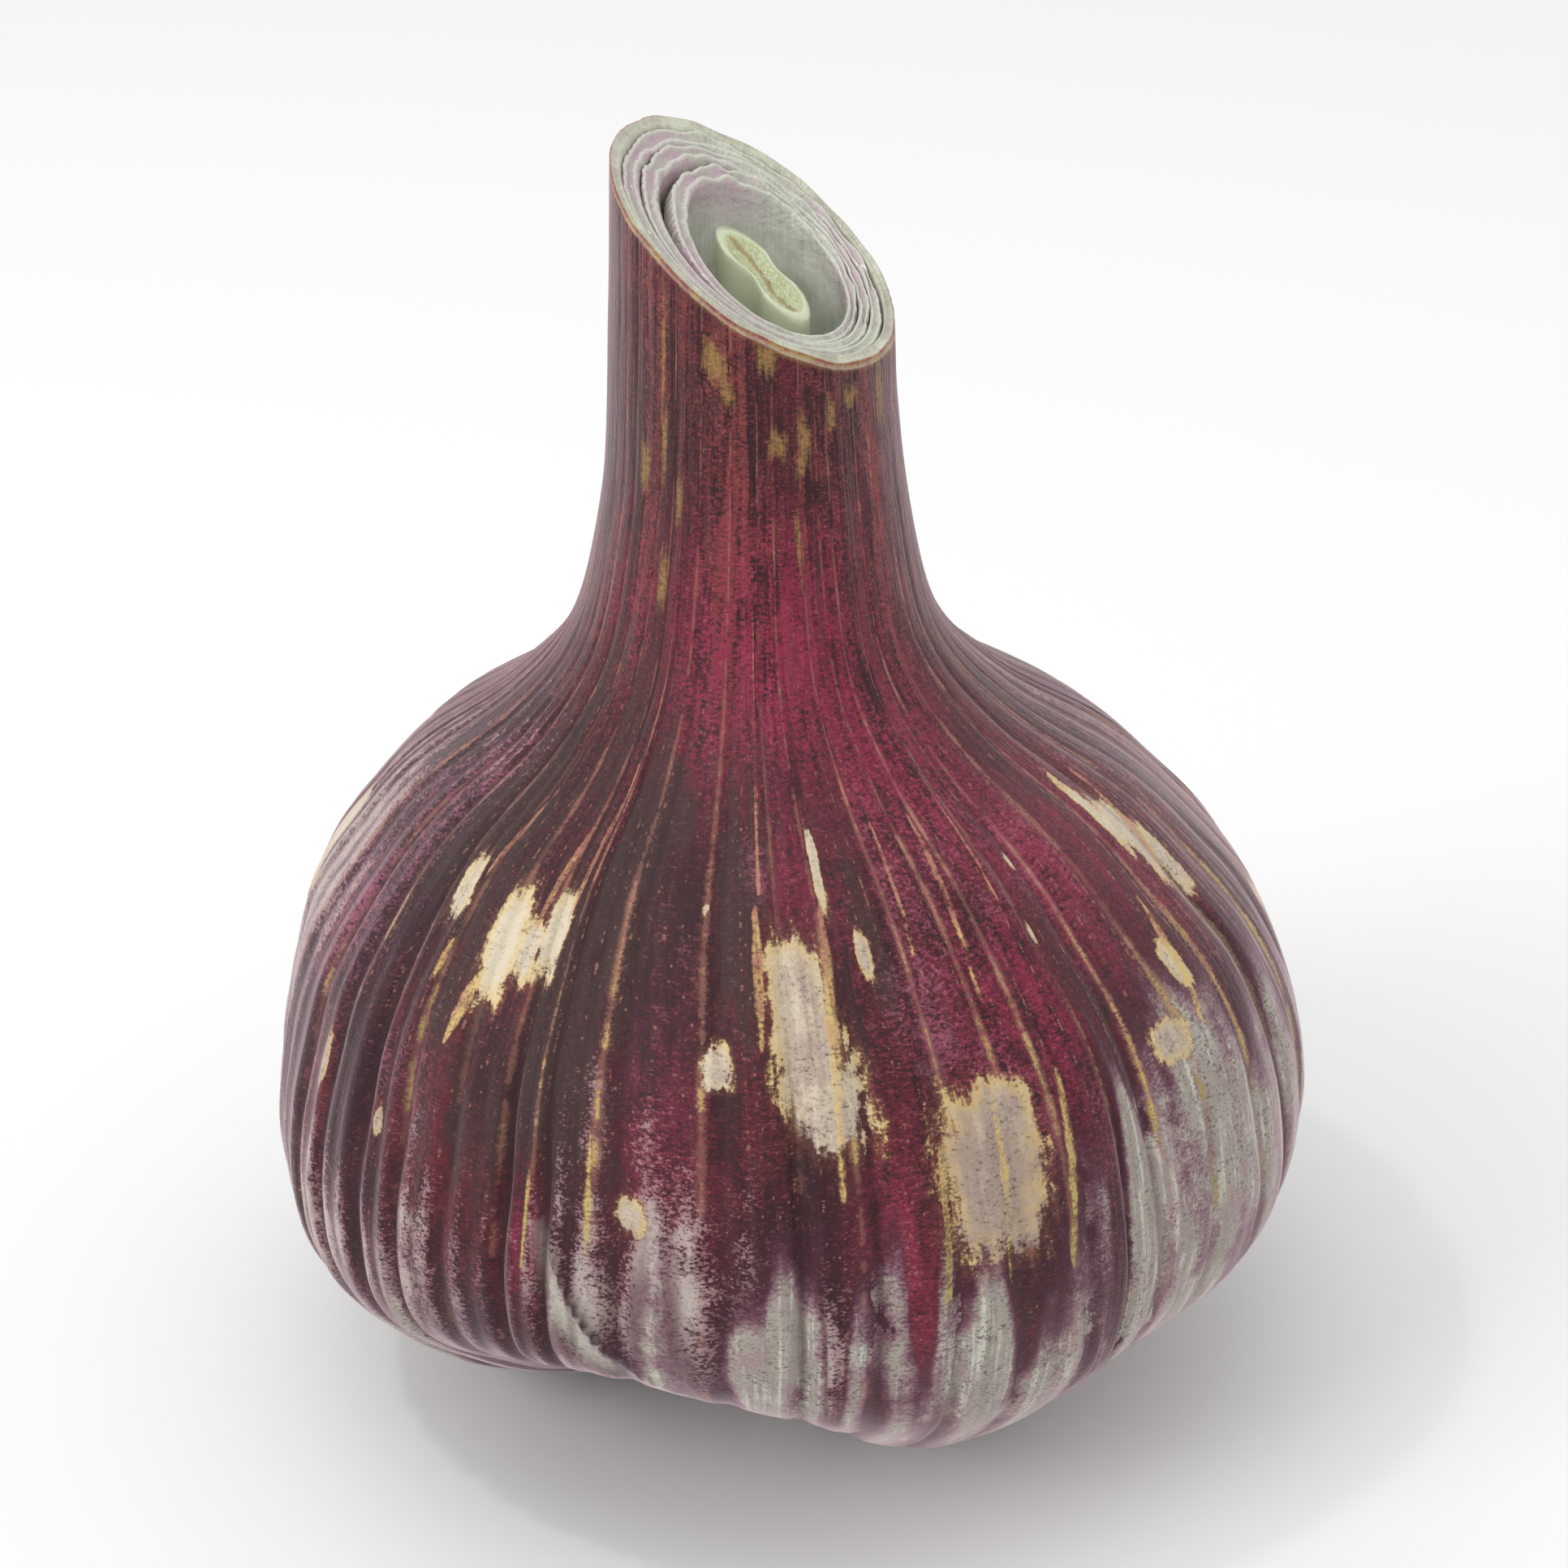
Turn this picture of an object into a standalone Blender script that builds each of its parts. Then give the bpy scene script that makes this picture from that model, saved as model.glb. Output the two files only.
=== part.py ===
"""A purple-striped garlic bulb, lifted and trimmed: the wrapper with its long neck cut on a slant, the
leaf sheaths nested in the neck, the cut flower stalk among them, and the root plate underneath.

Metres, +Z up. The bulb stands on its root plate, whose centre is the origin. The azimuth of a point
is measured from the front (-Y) towards the right (+X).
"""

import math
import random

import bmesh
import bpy
from mathutils import Matrix, Vector

MM = 0.001
FULL_TURN = 2 * math.pi
WELD = 0.001 * MM

# The wrapper's outline from the edge of the root plate's recess to the cut, as (radius, height) in mm.
OUTLINE_MM = (
    (9.0, 3.6),
    (9.4, 1.1),
    (11.0, 0.0),
    (14.2, 0.0),
    (18.3, 1.2),
    (25.5, 5.2),
    (31.5, 12.0),
    (32.9, 19.0),
    (31.8, 26.0),
    (29.5, 32.0),
    (25.6, 37.0),
    (21.5, 41.0),
    (15.2, 45.2),
    (11.0, 50.0),
    (9.0, 58.0),
    (8.35, 66.0),
    (8.1, 72.75),
)
OUTLINE_STEPS = 2
RECESS_RADIUS = OUTLINE_MM[0][0] * MM

# The cloves inside push the wrapper out in six lobes. Each valley between two of them is listed as
# (azimuth, half width below, share of the radius it takes below, how far it lifts the underside).
VALLEYS = (
    (math.radians(-85), math.radians(14), 0.18, 0.0),
    (math.radians(-20), math.radians(28), 0.39, 5.6 * MM),
    (math.radians(43), math.radians(14), 0.15, 0.0),
    (math.radians(98), math.radians(14), 0.2, 0.3 * MM),
    (math.radians(157), math.radians(18), 0.28, 2.4 * MM),
    (math.radians(216), math.radians(16), 0.24, 1.4 * MM),
)
SIDE_VALLEY_WIDTH = math.radians(12)
SIDE_VALLEY_SHARE = 0.023  # of the radius
LOBE_FULLNESS = (  # (azimuth, how far this clove pushes the underside out)
    (math.radians(-62), 1.4 * MM),
    (math.radians(70), -5.0 * MM),
)
LOBE_WIDTH = math.radians(26)
LOBE_FOOT_RADIUS = 15 * MM  # the lobes have their full shape outside this
UNDERSIDE_HEIGHT = 9 * MM
UNDERSIDE_BLEND = 3 * MM
SHOULDER_HEIGHT = 38 * MM
SHOULDER_BLEND = 4 * MM

# Ribs run from the root plate to the cut: three columns of faces for each rib.
RIB_COUNT = 48
RIB_COLUMNS = 3
RIB_DEPTH = 0.8 * MM
NECK_RIB_DEPTH = 0.2 * MM
RIB_DRIFT = (  # (waves round the bulb, swing, phase): makes the ribs unequal in width
    (5, math.radians(2.1), 0.4),
    (11, math.radians(1.1), 2.1),
    (17, math.radians(0.7), 4.0),
)

# The neck leans a little to the left and is cut on one plane.
NECK_LEAN = Vector((-2.0 * MM, -0.3 * MM, 0.0))
LEAN_FROM, LEAN_TO = 24 * MM, 52 * MM
CUT_HEIGHT = 72.75 * MM  # on the neck's own axis
CUT_SLOPE_X, CUT_SLOPE_Y = -0.583, 0.395
CUT_FADE_FROM = 58 * MM

# The neck's bore, with the sheaths nested in it. Further in, each round is centred further right.
BORE_RADIUS = 7.15 * MM
BORE_FLOOR = 57 * MM
SHEATH_COUNT = 3
SHEATH_WALL = 0.6 * MM
SHEATH_GAP = 0.3 * MM
SHEATH_DRIFT = 0.17  # of how far in the round is
SHEATH_DROP = 0.3 * MM  # each sheath's cut edge is this much lower than the one outside it
SHEATH_EDGE = (  # (share of the wall from its outside, depth below the cut): two skins and a notch
    (0.0, 0.12 * MM),
    (0.25, 0.0),
    (0.5, 0.35 * MM),
    (0.75, 0.12 * MM),
    (1.0, 0.25 * MM),
)
SHEATH_COLUMNS = 48
FLOOR_GAP = 0.3 * MM

# The flower stalk's stub: two round lobes side by side, shrunk back below the sheaths' edges.
STALK_CENTRE = Vector((0.5 * MM, 0.1 * MM, 0.0))  # from the neck's axis
STALK_LENGTH = 6.3 * MM
STALK_WIDTH = 3.7 * MM
STALK_WAIST = 0.36  # share of the width that the waist is drawn in
STALK_WAIST_WIDTH = 0.33  # of half the length
STALK_BEND = 0.09  # share of the width that the middle bows towards the back
STALK_AZIMUTH = math.radians(-39)  # of its long side, from +X
STALK_DROP = 2.0 * MM
STALK_COLUMNS = 28
STALK_RIM = 0.45 * MM
STALK_DISH = 0.25 * MM

# The root plate: a thick disc, flat where it stands, as (radius, height) in mm from its top's centre.
PLATE_OUTLINE_MM = (
    (0, 3.3),
    (8.0, 3.3),
    (8.6, 2.5),
    (8.3, 1.3),
    (7.7, 0.9),
    (5.1, 0.6),
    (4.6, 0),
    (0, 0),
)
PLATE_COLUMNS = 36

# Two rings of trimmed root stubs grow from the plate's underside and splay a little.
STUB_RING_RADII = (5.6 * MM, 7.2 * MM)
STUBS_IN_RING = 13
STUB_RADIUS = 0.55 * MM
STUB_TIP_SHARE = 0.75  # of the radius
STUB_SIDES = 6
STUB_LENGTH = 1.5 * MM
STUB_SHORTEST = 0.75  # of that length
STUB_TOP = 1.6 * MM
STUB_SPLAY = 0.6 * MM
STUB_SCATTER = 0.12  # of the spacing
STUB_SEED = 7


def smoothstep(low, high, value):
    """0 below low, 1 above high, and a smooth ramp between."""
    t = min(1.0, max(0.0, (value - low) / (high - low)))
    return t * t * (3 - 2 * t)


def fade(height, middle, blend):
    """1 well below the middle height and 0 well above it."""
    return 1 / (1 + math.exp((height - middle) / blend))


def bump(azimuth, centre, width):
    """A round bump of height 1 at the centre azimuth."""
    apart = (azimuth - centre + math.pi) % FULL_TURN - math.pi
    return math.exp(-((apart / width) ** 2))


def smooth_path(points, steps):
    """A Catmull-Rom curve through the points, with so many steps between each two."""
    ends = [2 * points[0] - points[1], *points, 2 * points[-1] - points[-2]]
    path = []
    for a, b, c, d in zip(ends, ends[1:], ends[2:], ends[3:]):
        for step in range(steps):
            t = step / steps
            square = (2 * a - 5 * b + 4 * c - d) * t**2
            cube = (3 * b - 3 * c + d - a) * t**3
            path.append(0.5 * (2 * b + (c - a) * t + square + cube))
    return [*path, points[-1]]


def lean(height):
    """How far the axis has moved sideways at this height."""
    return NECK_LEAN * smoothstep(LEAN_FROM, LEAN_TO, height)


def to_cut(point, drop):
    """The point in the neck, moved so that the level at CUT_HEIGHT comes to lie on the slanting cut."""
    slant = CUT_SLOPE_X * point.x + CUT_SLOPE_Y * point.y - drop
    share = smoothstep(CUT_FADE_FROM, CUT_HEIGHT, point.z)
    return point + Vector((0, 0, slant * share))


def lobed(radius, azimuth, height):
    """The wrapper's radius and height there, with the cloves' lobes and the valleys between them."""
    under = fade(height, UNDERSIDE_HEIGHT, UNDERSIDE_BLEND)
    under *= smoothstep(RECESS_RADIUS, LOBE_FOOT_RADIUS, radius)
    side = SIDE_VALLEY_SHARE * fade(height, SHOULDER_HEIGHT, SHOULDER_BLEND)
    beyond = radius - RECESS_RADIUS
    for at, width, share, lift in VALLEYS:
        beyond *= 1 - side * bump(azimuth, at, SIDE_VALLEY_WIDTH)
        beyond *= 1 - share * under * bump(azimuth, at, width)
        height += lift * under * bump(azimuth, at, width)
    fullness = sum(push * bump(azimuth, at, LOBE_WIDTH) for at, push in LOBE_FULLNESS)
    return RECESS_RADIUS + beyond + fullness * under, height


def rib_relief(column_azimuth, height):
    """How far the surface is drawn in at a groove between two ribs, and nothing on a rib's crest."""
    groove = (0.5 + 0.5 * math.cos(RIB_COUNT * column_azimuth)) ** 2
    uneven = 0.75 + 0.17 * math.sin(3 * column_azimuth + 3.9) + 0.08 * math.sin(13 * column_azimuth)
    depth = NECK_RIB_DEPTH + (RIB_DEPTH - NECK_RIB_DEPTH) * fade(height, SHOULDER_HEIGHT, SHOULDER_BLEND)
    return depth * groove * uneven


def drifted(column_azimuth):
    """Where a column of the wrapper really stands, so that its ribs are unequal."""
    shifts = [swing * math.sin(waves * column_azimuth + phase) for waves, swing, phase in RIB_DRIFT]
    return column_azimuth + sum(shifts)


def wrapper_point(point):
    """A point of the spun wrapper, moved to where the real surface is."""
    column_azimuth = math.atan2(point.x, -point.y)
    radius, height = math.hypot(point.x, point.y), point.z
    azimuth = drifted(column_azimuth)
    in_recess = height < UNDERSIDE_HEIGHT and radius < RECESS_RADIUS + WELD
    in_bore = height > BORE_FLOOR - WELD and radius < BORE_RADIUS + WELD
    if not in_recess and not in_bore:
        relief = rib_relief(column_azimuth, height)
        if height < UNDERSIDE_HEIGHT:
            relief *= smoothstep(RECESS_RADIUS, LOBE_FOOT_RADIUS, radius)
        radius, height = lobed(radius - relief, azimuth, height)
    moved = Vector((radius * math.sin(azimuth), -radius * math.cos(azimuth), height))
    return to_cut(moved, 0.0) + lean(point.z)


def sheath_point(number):
    """The function that moves a point of that spun sheath to where it stands in the leaning neck."""

    def moved(point):
        inwards = BORE_RADIUS - math.hypot(point.x, point.y)
        across = point + Vector((SHEATH_DRIFT * inwards, 0, 0))
        return to_cut(across, SHEATH_DROP * number) + lean(point.z)

    return moved


def finish_object(name, shape, material):
    """Makes the object of a finished bmesh, shaded smooth but for its sharp edges."""
    bmesh.ops.recalc_face_normals(shape, faces=shape.faces)
    mesh = bpy.data.meshes.new(name)
    shape.to_mesh(mesh)
    shape.free()
    mesh.materials.append(material)
    mesh.shade_smooth()
    mesh.set_sharp_from_angle(angle=math.radians(50))
    made = bpy.data.objects.new(name, mesh)
    bpy.context.scene.collection.objects.link(made)
    return made


def spun_solid(name, outline, columns, move, material, closed=False):
    """One solid of revolution about +Z from (radius, height) pairs, each vertex then moved by a function.

    An open outline starts and ends on the axis. A closed one makes a tube.
    """
    shape = bmesh.new()
    corners = [shape.verts.new((radius, 0, height)) for radius, height in outline]
    sides = [shape.edges.new(pair) for pair in zip(corners, corners[1:])]
    if closed:
        sides.append(shape.edges.new((corners[-1], corners[0])))
    bmesh.ops.spin(
        shape,
        geom=corners + sides,
        cent=(0, 0, 0),
        axis=(0, 0, 1),
        angle=FULL_TURN,
        steps=columns,
        use_merge=True,
    )
    bmesh.ops.remove_doubles(shape, verts=shape.verts, dist=WELD)
    for vert in shape.verts:
        vert.co = move(vert.co)
    return finish_object(name, shape, material)


def make_material(name, colour, roughness):
    """A plain finish: a linear colour and how rough it is."""
    material = bpy.data.materials.new(name)
    material.use_nodes = True
    shader = material.node_tree.nodes["Principled BSDF"]
    shader.inputs["Base Color"].default_value = (*colour, 1.0)
    shader.inputs["Roughness"].default_value = roughness
    shader.inputs["Metallic"].default_value = 0.0
    return material


def make_wrapper(material):
    """The outer wrapper: lobed, ribbed bulb and hollow neck in one piece."""
    outside = smooth_path([Vector(pair) * MM for pair in OUTLINE_MM[1:]], OUTLINE_STEPS)
    recess_top = OUTLINE_MM[0][1] * MM
    outline = [(0, recess_top), (RECESS_RADIUS, recess_top)]
    outline += [(spot.x, max(0.0, spot.y)) for spot in outside]
    outline += [(BORE_RADIUS, CUT_HEIGHT), (BORE_RADIUS, BORE_FLOOR), (0, BORE_FLOOR)]
    return spun_solid("outer_wrapper", outline, RIB_COLUMNS * RIB_COUNT, wrapper_point, material)


def make_sheath(number, material):
    """One leaf sheath in the neck, number 1 being the outermost: a tube whose cut edge shows two skins."""
    outer = BORE_RADIUS - SHEATH_GAP - (number - 1) * (SHEATH_WALL + SHEATH_GAP)
    foot = BORE_FLOOR + FLOOR_GAP
    edge = [(outer - across * SHEATH_WALL, CUT_HEIGHT - below) for across, below in SHEATH_EDGE]
    outline = [(outer, foot), *edge, (outer - SHEATH_WALL, foot)]
    name = f"leaf_sheath_{number}"
    return spun_solid(name, outline, SHEATH_COLUMNS, sheath_point(number), material, closed=True)


def stalk_ring_point(corner):
    """A point of the unit circle, moved to the stalk's two-lobed outline."""
    along, across = corner.x, corner.y
    waist = 1 - STALK_WAIST * math.exp(-((along / STALK_WAIST_WIDTH) ** 2))
    bow = STALK_BEND * (1 - along**2)
    lying = Vector((along * STALK_LENGTH / 2, (across * waist + bow) * STALK_WIDTH / 2, 0))
    return Matrix.Rotation(STALK_AZIMUTH, 3, "Z") @ lying


def make_stalk(material):
    """The flower stalk's stub: a two-lobed stem with a shallow dish in its cut end."""
    foot = BORE_FLOOR + FLOOR_GAP
    shape = bmesh.new()
    bmesh.ops.create_circle(shape, cap_ends=True, segments=STALK_COLUMNS, radius=1)
    for vert in shape.verts:
        vert.co = stalk_ring_point(vert.co) + Vector((0, 0, foot))
    raised = bmesh.ops.extrude_face_region(shape, geom=list(shape.faces))["geom"]
    top = next(item for item in raised if isinstance(item, bmesh.types.BMFace))
    bmesh.ops.translate(shape, verts=top.verts, vec=(0, 0, CUT_HEIGHT - foot))
    bmesh.ops.recalc_face_normals(shape, faces=shape.faces)
    bmesh.ops.inset_region(shape, faces=[top], thickness=STALK_RIM, depth=0)
    bmesh.ops.translate(shape, verts=top.verts, vec=(0, 0, -STALK_DISH))
    for vert in shape.verts:
        vert.co = to_cut(vert.co + STALK_CENTRE, STALK_DROP) + lean(vert.co.z)
    return finish_object("flower_stalk", shape, material)


def make_stub(name, azimuth, ring_radius, length, material):
    """One trimmed root stub, its root sunk in the plate and its end a little above the ground."""
    shape = bmesh.new()
    tip_radius = STUB_RADIUS * STUB_TIP_SHARE
    bmesh.ops.create_cone(
        shape, cap_ends=True, segments=STUB_SIDES, radius1=tip_radius, radius2=STUB_RADIUS, depth=length
    )
    outwards = Vector((math.sin(azimuth), -math.cos(azimuth), 0))
    for vert in shape.verts:
        below_top = 0.5 - vert.co.z / length
        vert.co += outwards * (ring_radius + STUB_SPLAY * below_top)
        vert.co.z += STUB_TOP - length / 2
    return finish_object(name, shape, material)


def make_root_plate(material):
    """The root plate with its trimmed root stubs, joined into one solid."""
    outline = [(radius * MM, height * MM) for radius, height in PLATE_OUTLINE_MM]
    plate = spun_solid("root_plate", outline, PLATE_COLUMNS, lambda point: point, material)
    stubs = bpy.data.collections.new("root_stubs")
    rng = random.Random(STUB_SEED)
    for ring, ring_radius in enumerate(STUB_RING_RADII):
        for index in range(STUBS_IN_RING):
            place = index + ring / 2 + rng.uniform(-STUB_SCATTER, STUB_SCATTER)
            length = STUB_LENGTH * rng.uniform(STUB_SHORTEST, 1)
            name = f"root_stub_{ring}_{index}"
            stub = make_stub(name, FULL_TURN * place / STUBS_IN_RING, ring_radius, length, material)
            bpy.context.scene.collection.objects.unlink(stub)
            stubs.objects.link(stub)
    union = plate.modifiers.new("join_stubs", "BOOLEAN")
    union.operation = "UNION"
    union.operand_type = "COLLECTION"
    union.collection = stubs
    union.solver = "EXACT"
    joined = bpy.data.meshes.new_from_object(plate.evaluated_get(bpy.context.evaluated_depsgraph_get()))
    plate.modifiers.clear()
    plate.data = joined
    for stub in list(stubs.objects):
        bpy.data.objects.remove(stub)
    return plate


def main():
    """Clears the scene and makes every piece of the bulb."""
    for old in list(bpy.data.objects):
        bpy.data.objects.remove(old)
    make_wrapper(make_material("striped_wrapper", (0.13, 0.03, 0.06), 0.5))
    sheath_material = make_material("inner_sheath", (0.55, 0.55, 0.45), 0.4)
    for number in range(1, SHEATH_COUNT + 1):
        make_sheath(number, sheath_material)
    make_stalk(make_material("stalk_flesh", (0.55, 0.62, 0.34), 0.35))
    make_root_plate(make_material("root_cork", (0.42, 0.33, 0.2), 0.85))


main()
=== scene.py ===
"""Dresses the garlic bulb: finely ribbed, streaked wrapper, rippled sheaths in the cut neck, the wet
flower stalk and the corky root plate, on a pale floor in soft studio light.

Metres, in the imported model's frame. Lengths in the tables are in millimetres and angles in degrees.
A point's column is its angle round the bulb from the front (-Y) towards the right (+X), and its
along is how far it lies from the bulb's base, measured up the surface.
"""

from __future__ import annotations

import logging
import math
from dataclasses import dataclass
from enum import Enum
from typing import Sequence

import bmesh
import bpy
import numpy as np
from mathutils import Euler, Matrix, Vector


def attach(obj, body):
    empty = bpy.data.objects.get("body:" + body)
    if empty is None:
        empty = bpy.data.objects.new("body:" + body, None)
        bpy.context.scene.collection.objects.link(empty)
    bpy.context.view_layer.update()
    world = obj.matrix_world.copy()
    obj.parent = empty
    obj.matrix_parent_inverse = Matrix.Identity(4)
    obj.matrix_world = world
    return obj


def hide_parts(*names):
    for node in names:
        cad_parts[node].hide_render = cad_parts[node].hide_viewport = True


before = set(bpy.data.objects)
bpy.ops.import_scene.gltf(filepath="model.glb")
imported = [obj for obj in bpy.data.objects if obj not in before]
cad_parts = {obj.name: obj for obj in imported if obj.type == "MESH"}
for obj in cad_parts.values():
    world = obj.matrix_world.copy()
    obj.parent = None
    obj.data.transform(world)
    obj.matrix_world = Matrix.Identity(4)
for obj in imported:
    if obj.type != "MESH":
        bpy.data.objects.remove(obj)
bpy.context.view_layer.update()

LOG = logging.getLogger("garlic_bulb")
MM = 0.001
WELD = 0.001 * MM
FULL_TURN = 2 * math.pi
GOLDEN_SHARE = 0.618034
GOLDEN_ANGLE = 2.399963
Array = np.ndarray
Colour = tuple[float, float, float]


class Slot(Enum):
    """The record's material slots."""

    WRAPPER = "striped_wrapper"
    SHEATH = "inner_sheath"
    STALK = "stalk_flesh"
    ROOT = "root_cork"


# The shape formulas, shared by all pieces and the same as the solids'.


def smoothstep(low: float, high: float, value: Array) -> Array:
    """Returns 0 below low, 1 above high, and a smooth ramp between."""
    t = np.clip((value - low) / (high - low), 0.0, 1.0)
    return t * t * (3 - 2 * t)


def fade(height: Array, middle: float, blend: float) -> Array:
    """Returns 1 well below the middle height and 0 well above it."""
    return 1 / (1 + np.exp((height - middle) / blend))


def bump(column: Array, centre: float, width: float) -> Array:
    """Returns a round bump of height 1 at the centre column, all in degrees."""
    apart = (np.degrees(column) - centre + 180) % 360 - 180
    return np.exp(-((apart / width) ** 2))


@dataclass(frozen=True)
class Valley:
    """One valley between two cloves."""

    azimuth: float
    width: float
    share: float
    lift: float


@dataclass(frozen=True)
class BulbForm:
    """The bulb's outside as formulas, in millimetres."""

    outline: tuple[tuple[float, float], ...] = (
        (9.4, 1.1),
        (11.0, 0.0),
        (14.2, 0.0),
        (18.3, 1.2),
        (25.5, 5.2),
        (31.5, 12.0),
        (32.9, 19.0),
        (31.8, 26.0),
        (29.5, 32.0),
        (25.6, 37.0),
        (21.5, 41.0),
        (15.2, 45.2),
        (11.0, 50.0),
        (9.0, 58.0),
        (8.35, 66.0),
        (8.1, 72.75),
    )
    recess_radius: float = 9.0
    recess_top: float = 3.6
    valleys: tuple[Valley, ...] = (
        Valley(-85, 14, 0.18, 0.0),
        Valley(-20, 28, 0.39, 5.6),
        Valley(43, 14, 0.15, 0.0),
        Valley(98, 14, 0.2, 0.3),
        Valley(157, 18, 0.28, 2.4),
        Valley(216, 16, 0.24, 1.4),
    )
    side_valley_width: float = 12.0
    side_valley_share: float = 0.023
    fullness: tuple[tuple[float, float], ...] = ((-62, 1.4), (70, -5.0))
    lobe_width: float = 26.0
    lobe_foot_radius: float = 15.0
    underside_height: float = 9.0
    underside_blend: float = 3.0
    shoulder_height: float = 38.0
    shoulder_blend: float = 4.0
    rib_count: int = 48
    rib_depth: float = 0.8
    neck_rib_depth: float = 0.2
    rib_drift: tuple[tuple[int, float, float], ...] = ((5, 2.1, 0.4), (11, 1.1, 2.1), (17, 0.7, 4.0))
    neck_lean: tuple[float, float] = (-2.0, -0.3)
    lean_from: float = 24.0
    lean_to: float = 52.0
    cut_height: float = 72.75
    cut_slope: tuple[float, float] = (-0.583, 0.395)
    cut_fade_from: float = 58.0
    bore_radius: float = 7.15
    bore_floor: float = 57.0

    def drifted(self, column: Array) -> Array:
        """Returns the true azimuth of each column, so that the ribs are unequal.

        Args:
            column: Each point's column, in radians.

        Returns:
            The azimuths, in radians.
        """
        return column + sum(
            math.radians(swing) * np.sin(waves * column + phase) for waves, swing, phase in self.rib_drift
        )

    def groove(self, column: Array) -> Array:
        """Returns 1 in the groove between two ribs and 0 on a rib's crest."""
        return (0.5 + 0.5 * np.cos(self.rib_count * column)) ** 2

    def rib_share(self, column: Array) -> Array:
        """Returns how deep the ribs are round the bulb, as a share of their full depth."""
        return 0.75 + 0.17 * np.sin(3 * column + 3.9) + 0.08 * np.sin(13 * column)

    def rib_relief(self, column: Array, height: Array) -> Array:
        """Returns how far the surface is drawn in at a groove, in millimetres.

        Args:
            column: Each point's column, in radians.
            height: Each point's height.

        Returns:
            The relief.
        """
        low = fade(height, self.shoulder_height, self.shoulder_blend)
        depth = self.neck_rib_depth + (self.rib_depth - self.neck_rib_depth) * low
        return depth * self.groove(column) * self.rib_share(column)

    def lobed(self, radius: Array, azimuth: Array, height: Array) -> tuple[Array, Array]:
        """Pushes the surface out over the cloves and draws it in between them.

        Args:
            radius: Distance from the axis before the lobes.
            azimuth: True azimuth.
            height: Height before the lobes.

        Returns:
            The radius and the height with the lobes.
        """
        under = fade(height, self.underside_height, self.underside_blend)
        under = under * smoothstep(self.recess_radius, self.lobe_foot_radius, radius)
        side = self.side_valley_share * fade(height, self.shoulder_height, self.shoulder_blend)
        beyond = radius - self.recess_radius
        for valley in self.valleys:
            there = bump(azimuth, valley.azimuth, valley.width)
            beyond = beyond * (1 - side * bump(azimuth, valley.azimuth, self.side_valley_width))
            beyond = beyond * (1 - valley.share * under * there)
            height = height + valley.lift * under * there
        full = sum(push * bump(azimuth, at, self.lobe_width) for at, push in self.fullness)
        return self.recess_radius + beyond + full * under, height

    def settle(self, x: Array, y: Array, height: Array, drop: Array | float = 0.0) -> Array:
        """Leans the neck and brings the level of the cut onto the slanting plane.

        Args:
            x: Distance to the right of the axis.
            y: Distance behind the axis.
            height: Height before the slant.
            drop: How far below the cut's plane the point ends.

        Returns:
            The points, in metres, one row each.
        """
        slant = self.cut_slope[0] * x + self.cut_slope[1] * y - drop
        leaned = smoothstep(self.lean_from, self.lean_to, height)
        share = smoothstep(self.cut_fade_from, self.cut_height, height)
        return np.stack(
            [x + self.neck_lean[0] * leaned, y + self.neck_lean[1] * leaned, height + slant * share], axis=1
        ) * MM

    def profile(self, spacing: float) -> list[tuple[float, float]]:
        """Returns a smooth curve through the outline, as points about so far apart.

        Args:
            spacing: The distance between two points.

        Returns:
            Radius and height of each point.
        """
        dense: list[Vector] = []
        points = [Vector(pair) for pair in self.outline]
        ends = [2 * points[0] - points[1], *points, 2 * points[-1] - points[-2]]
        for a, b, c, d in zip(ends, ends[1:], ends[2:], ends[3:]):
            for step in range(40):
                t = step / 40
                cubic = (3 * b - 3 * c + d - a) * t**3
                dense.append(0.5 * (2 * b + (c - a) * t + (2 * a - 5 * b + 4 * c - d) * t**2 + cubic))
        dense.append(points[-1])
        flat = np.array([(p.x, max(0.0, p.y)) for p in dense])
        run = np.concatenate([[0.0], np.cumsum(np.hypot(*np.diff(flat, axis=0).T))])
        stops = np.linspace(0.0, run[-1], int(run[-1] / spacing) + 1)
        return [(float(np.interp(s, run, flat[:, 0])), float(np.interp(s, run, flat[:, 1]))) for s in stops]


# Node graphs written as Python expressions.


class Field:
    """A value in a material's graph. Arithmetic on it adds Math nodes."""

    def __init__(self, graph: Graph, socket: bpy.types.NodeSocket) -> None:
        """Wraps one output socket of the graph."""
        self.graph = graph
        self.socket = socket

    def __add__(self, other: Field | float) -> Field:
        """Adds."""
        return self.graph.maths("ADD", self, other)

    __radd__ = __add__

    def __sub__(self, other: Field | float) -> Field:
        """Subtracts."""
        return self.graph.maths("SUBTRACT", self, other)

    def __rsub__(self, other: float) -> Field:
        """Subtracts from a number."""
        return self.graph.maths("SUBTRACT", other, self)

    def __mul__(self, other: Field | float) -> Field:
        """Multiplies."""
        return self.graph.maths("MULTIPLY", self, other)

    __rmul__ = __mul__

    def most(self, other: Field | float) -> Field:
        """Returns the larger of the two."""
        return self.graph.maths("MAXIMUM", self, other)

    def least(self, other: Field | float) -> Field:
        """Returns the smaller of the two."""
        return self.graph.maths("MINIMUM", self, other)

    def ramp(self, low: Field | float, high: Field | float) -> Field:
        """Returns a smooth ramp from 0 at low to 1 at high.

        Args:
            low: The value that gives 0.
            high: The value that gives 1.

        Returns:
            The ramp's value.
        """
        made = self.graph.node(
            "ShaderNodeMapRange",
            {"interpolation_type": "SMOOTHSTEP"},
            {"Value": self, "From Min": low, "From Max": high},
        )
        return Field(self.graph, made.outputs["Result"])


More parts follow.
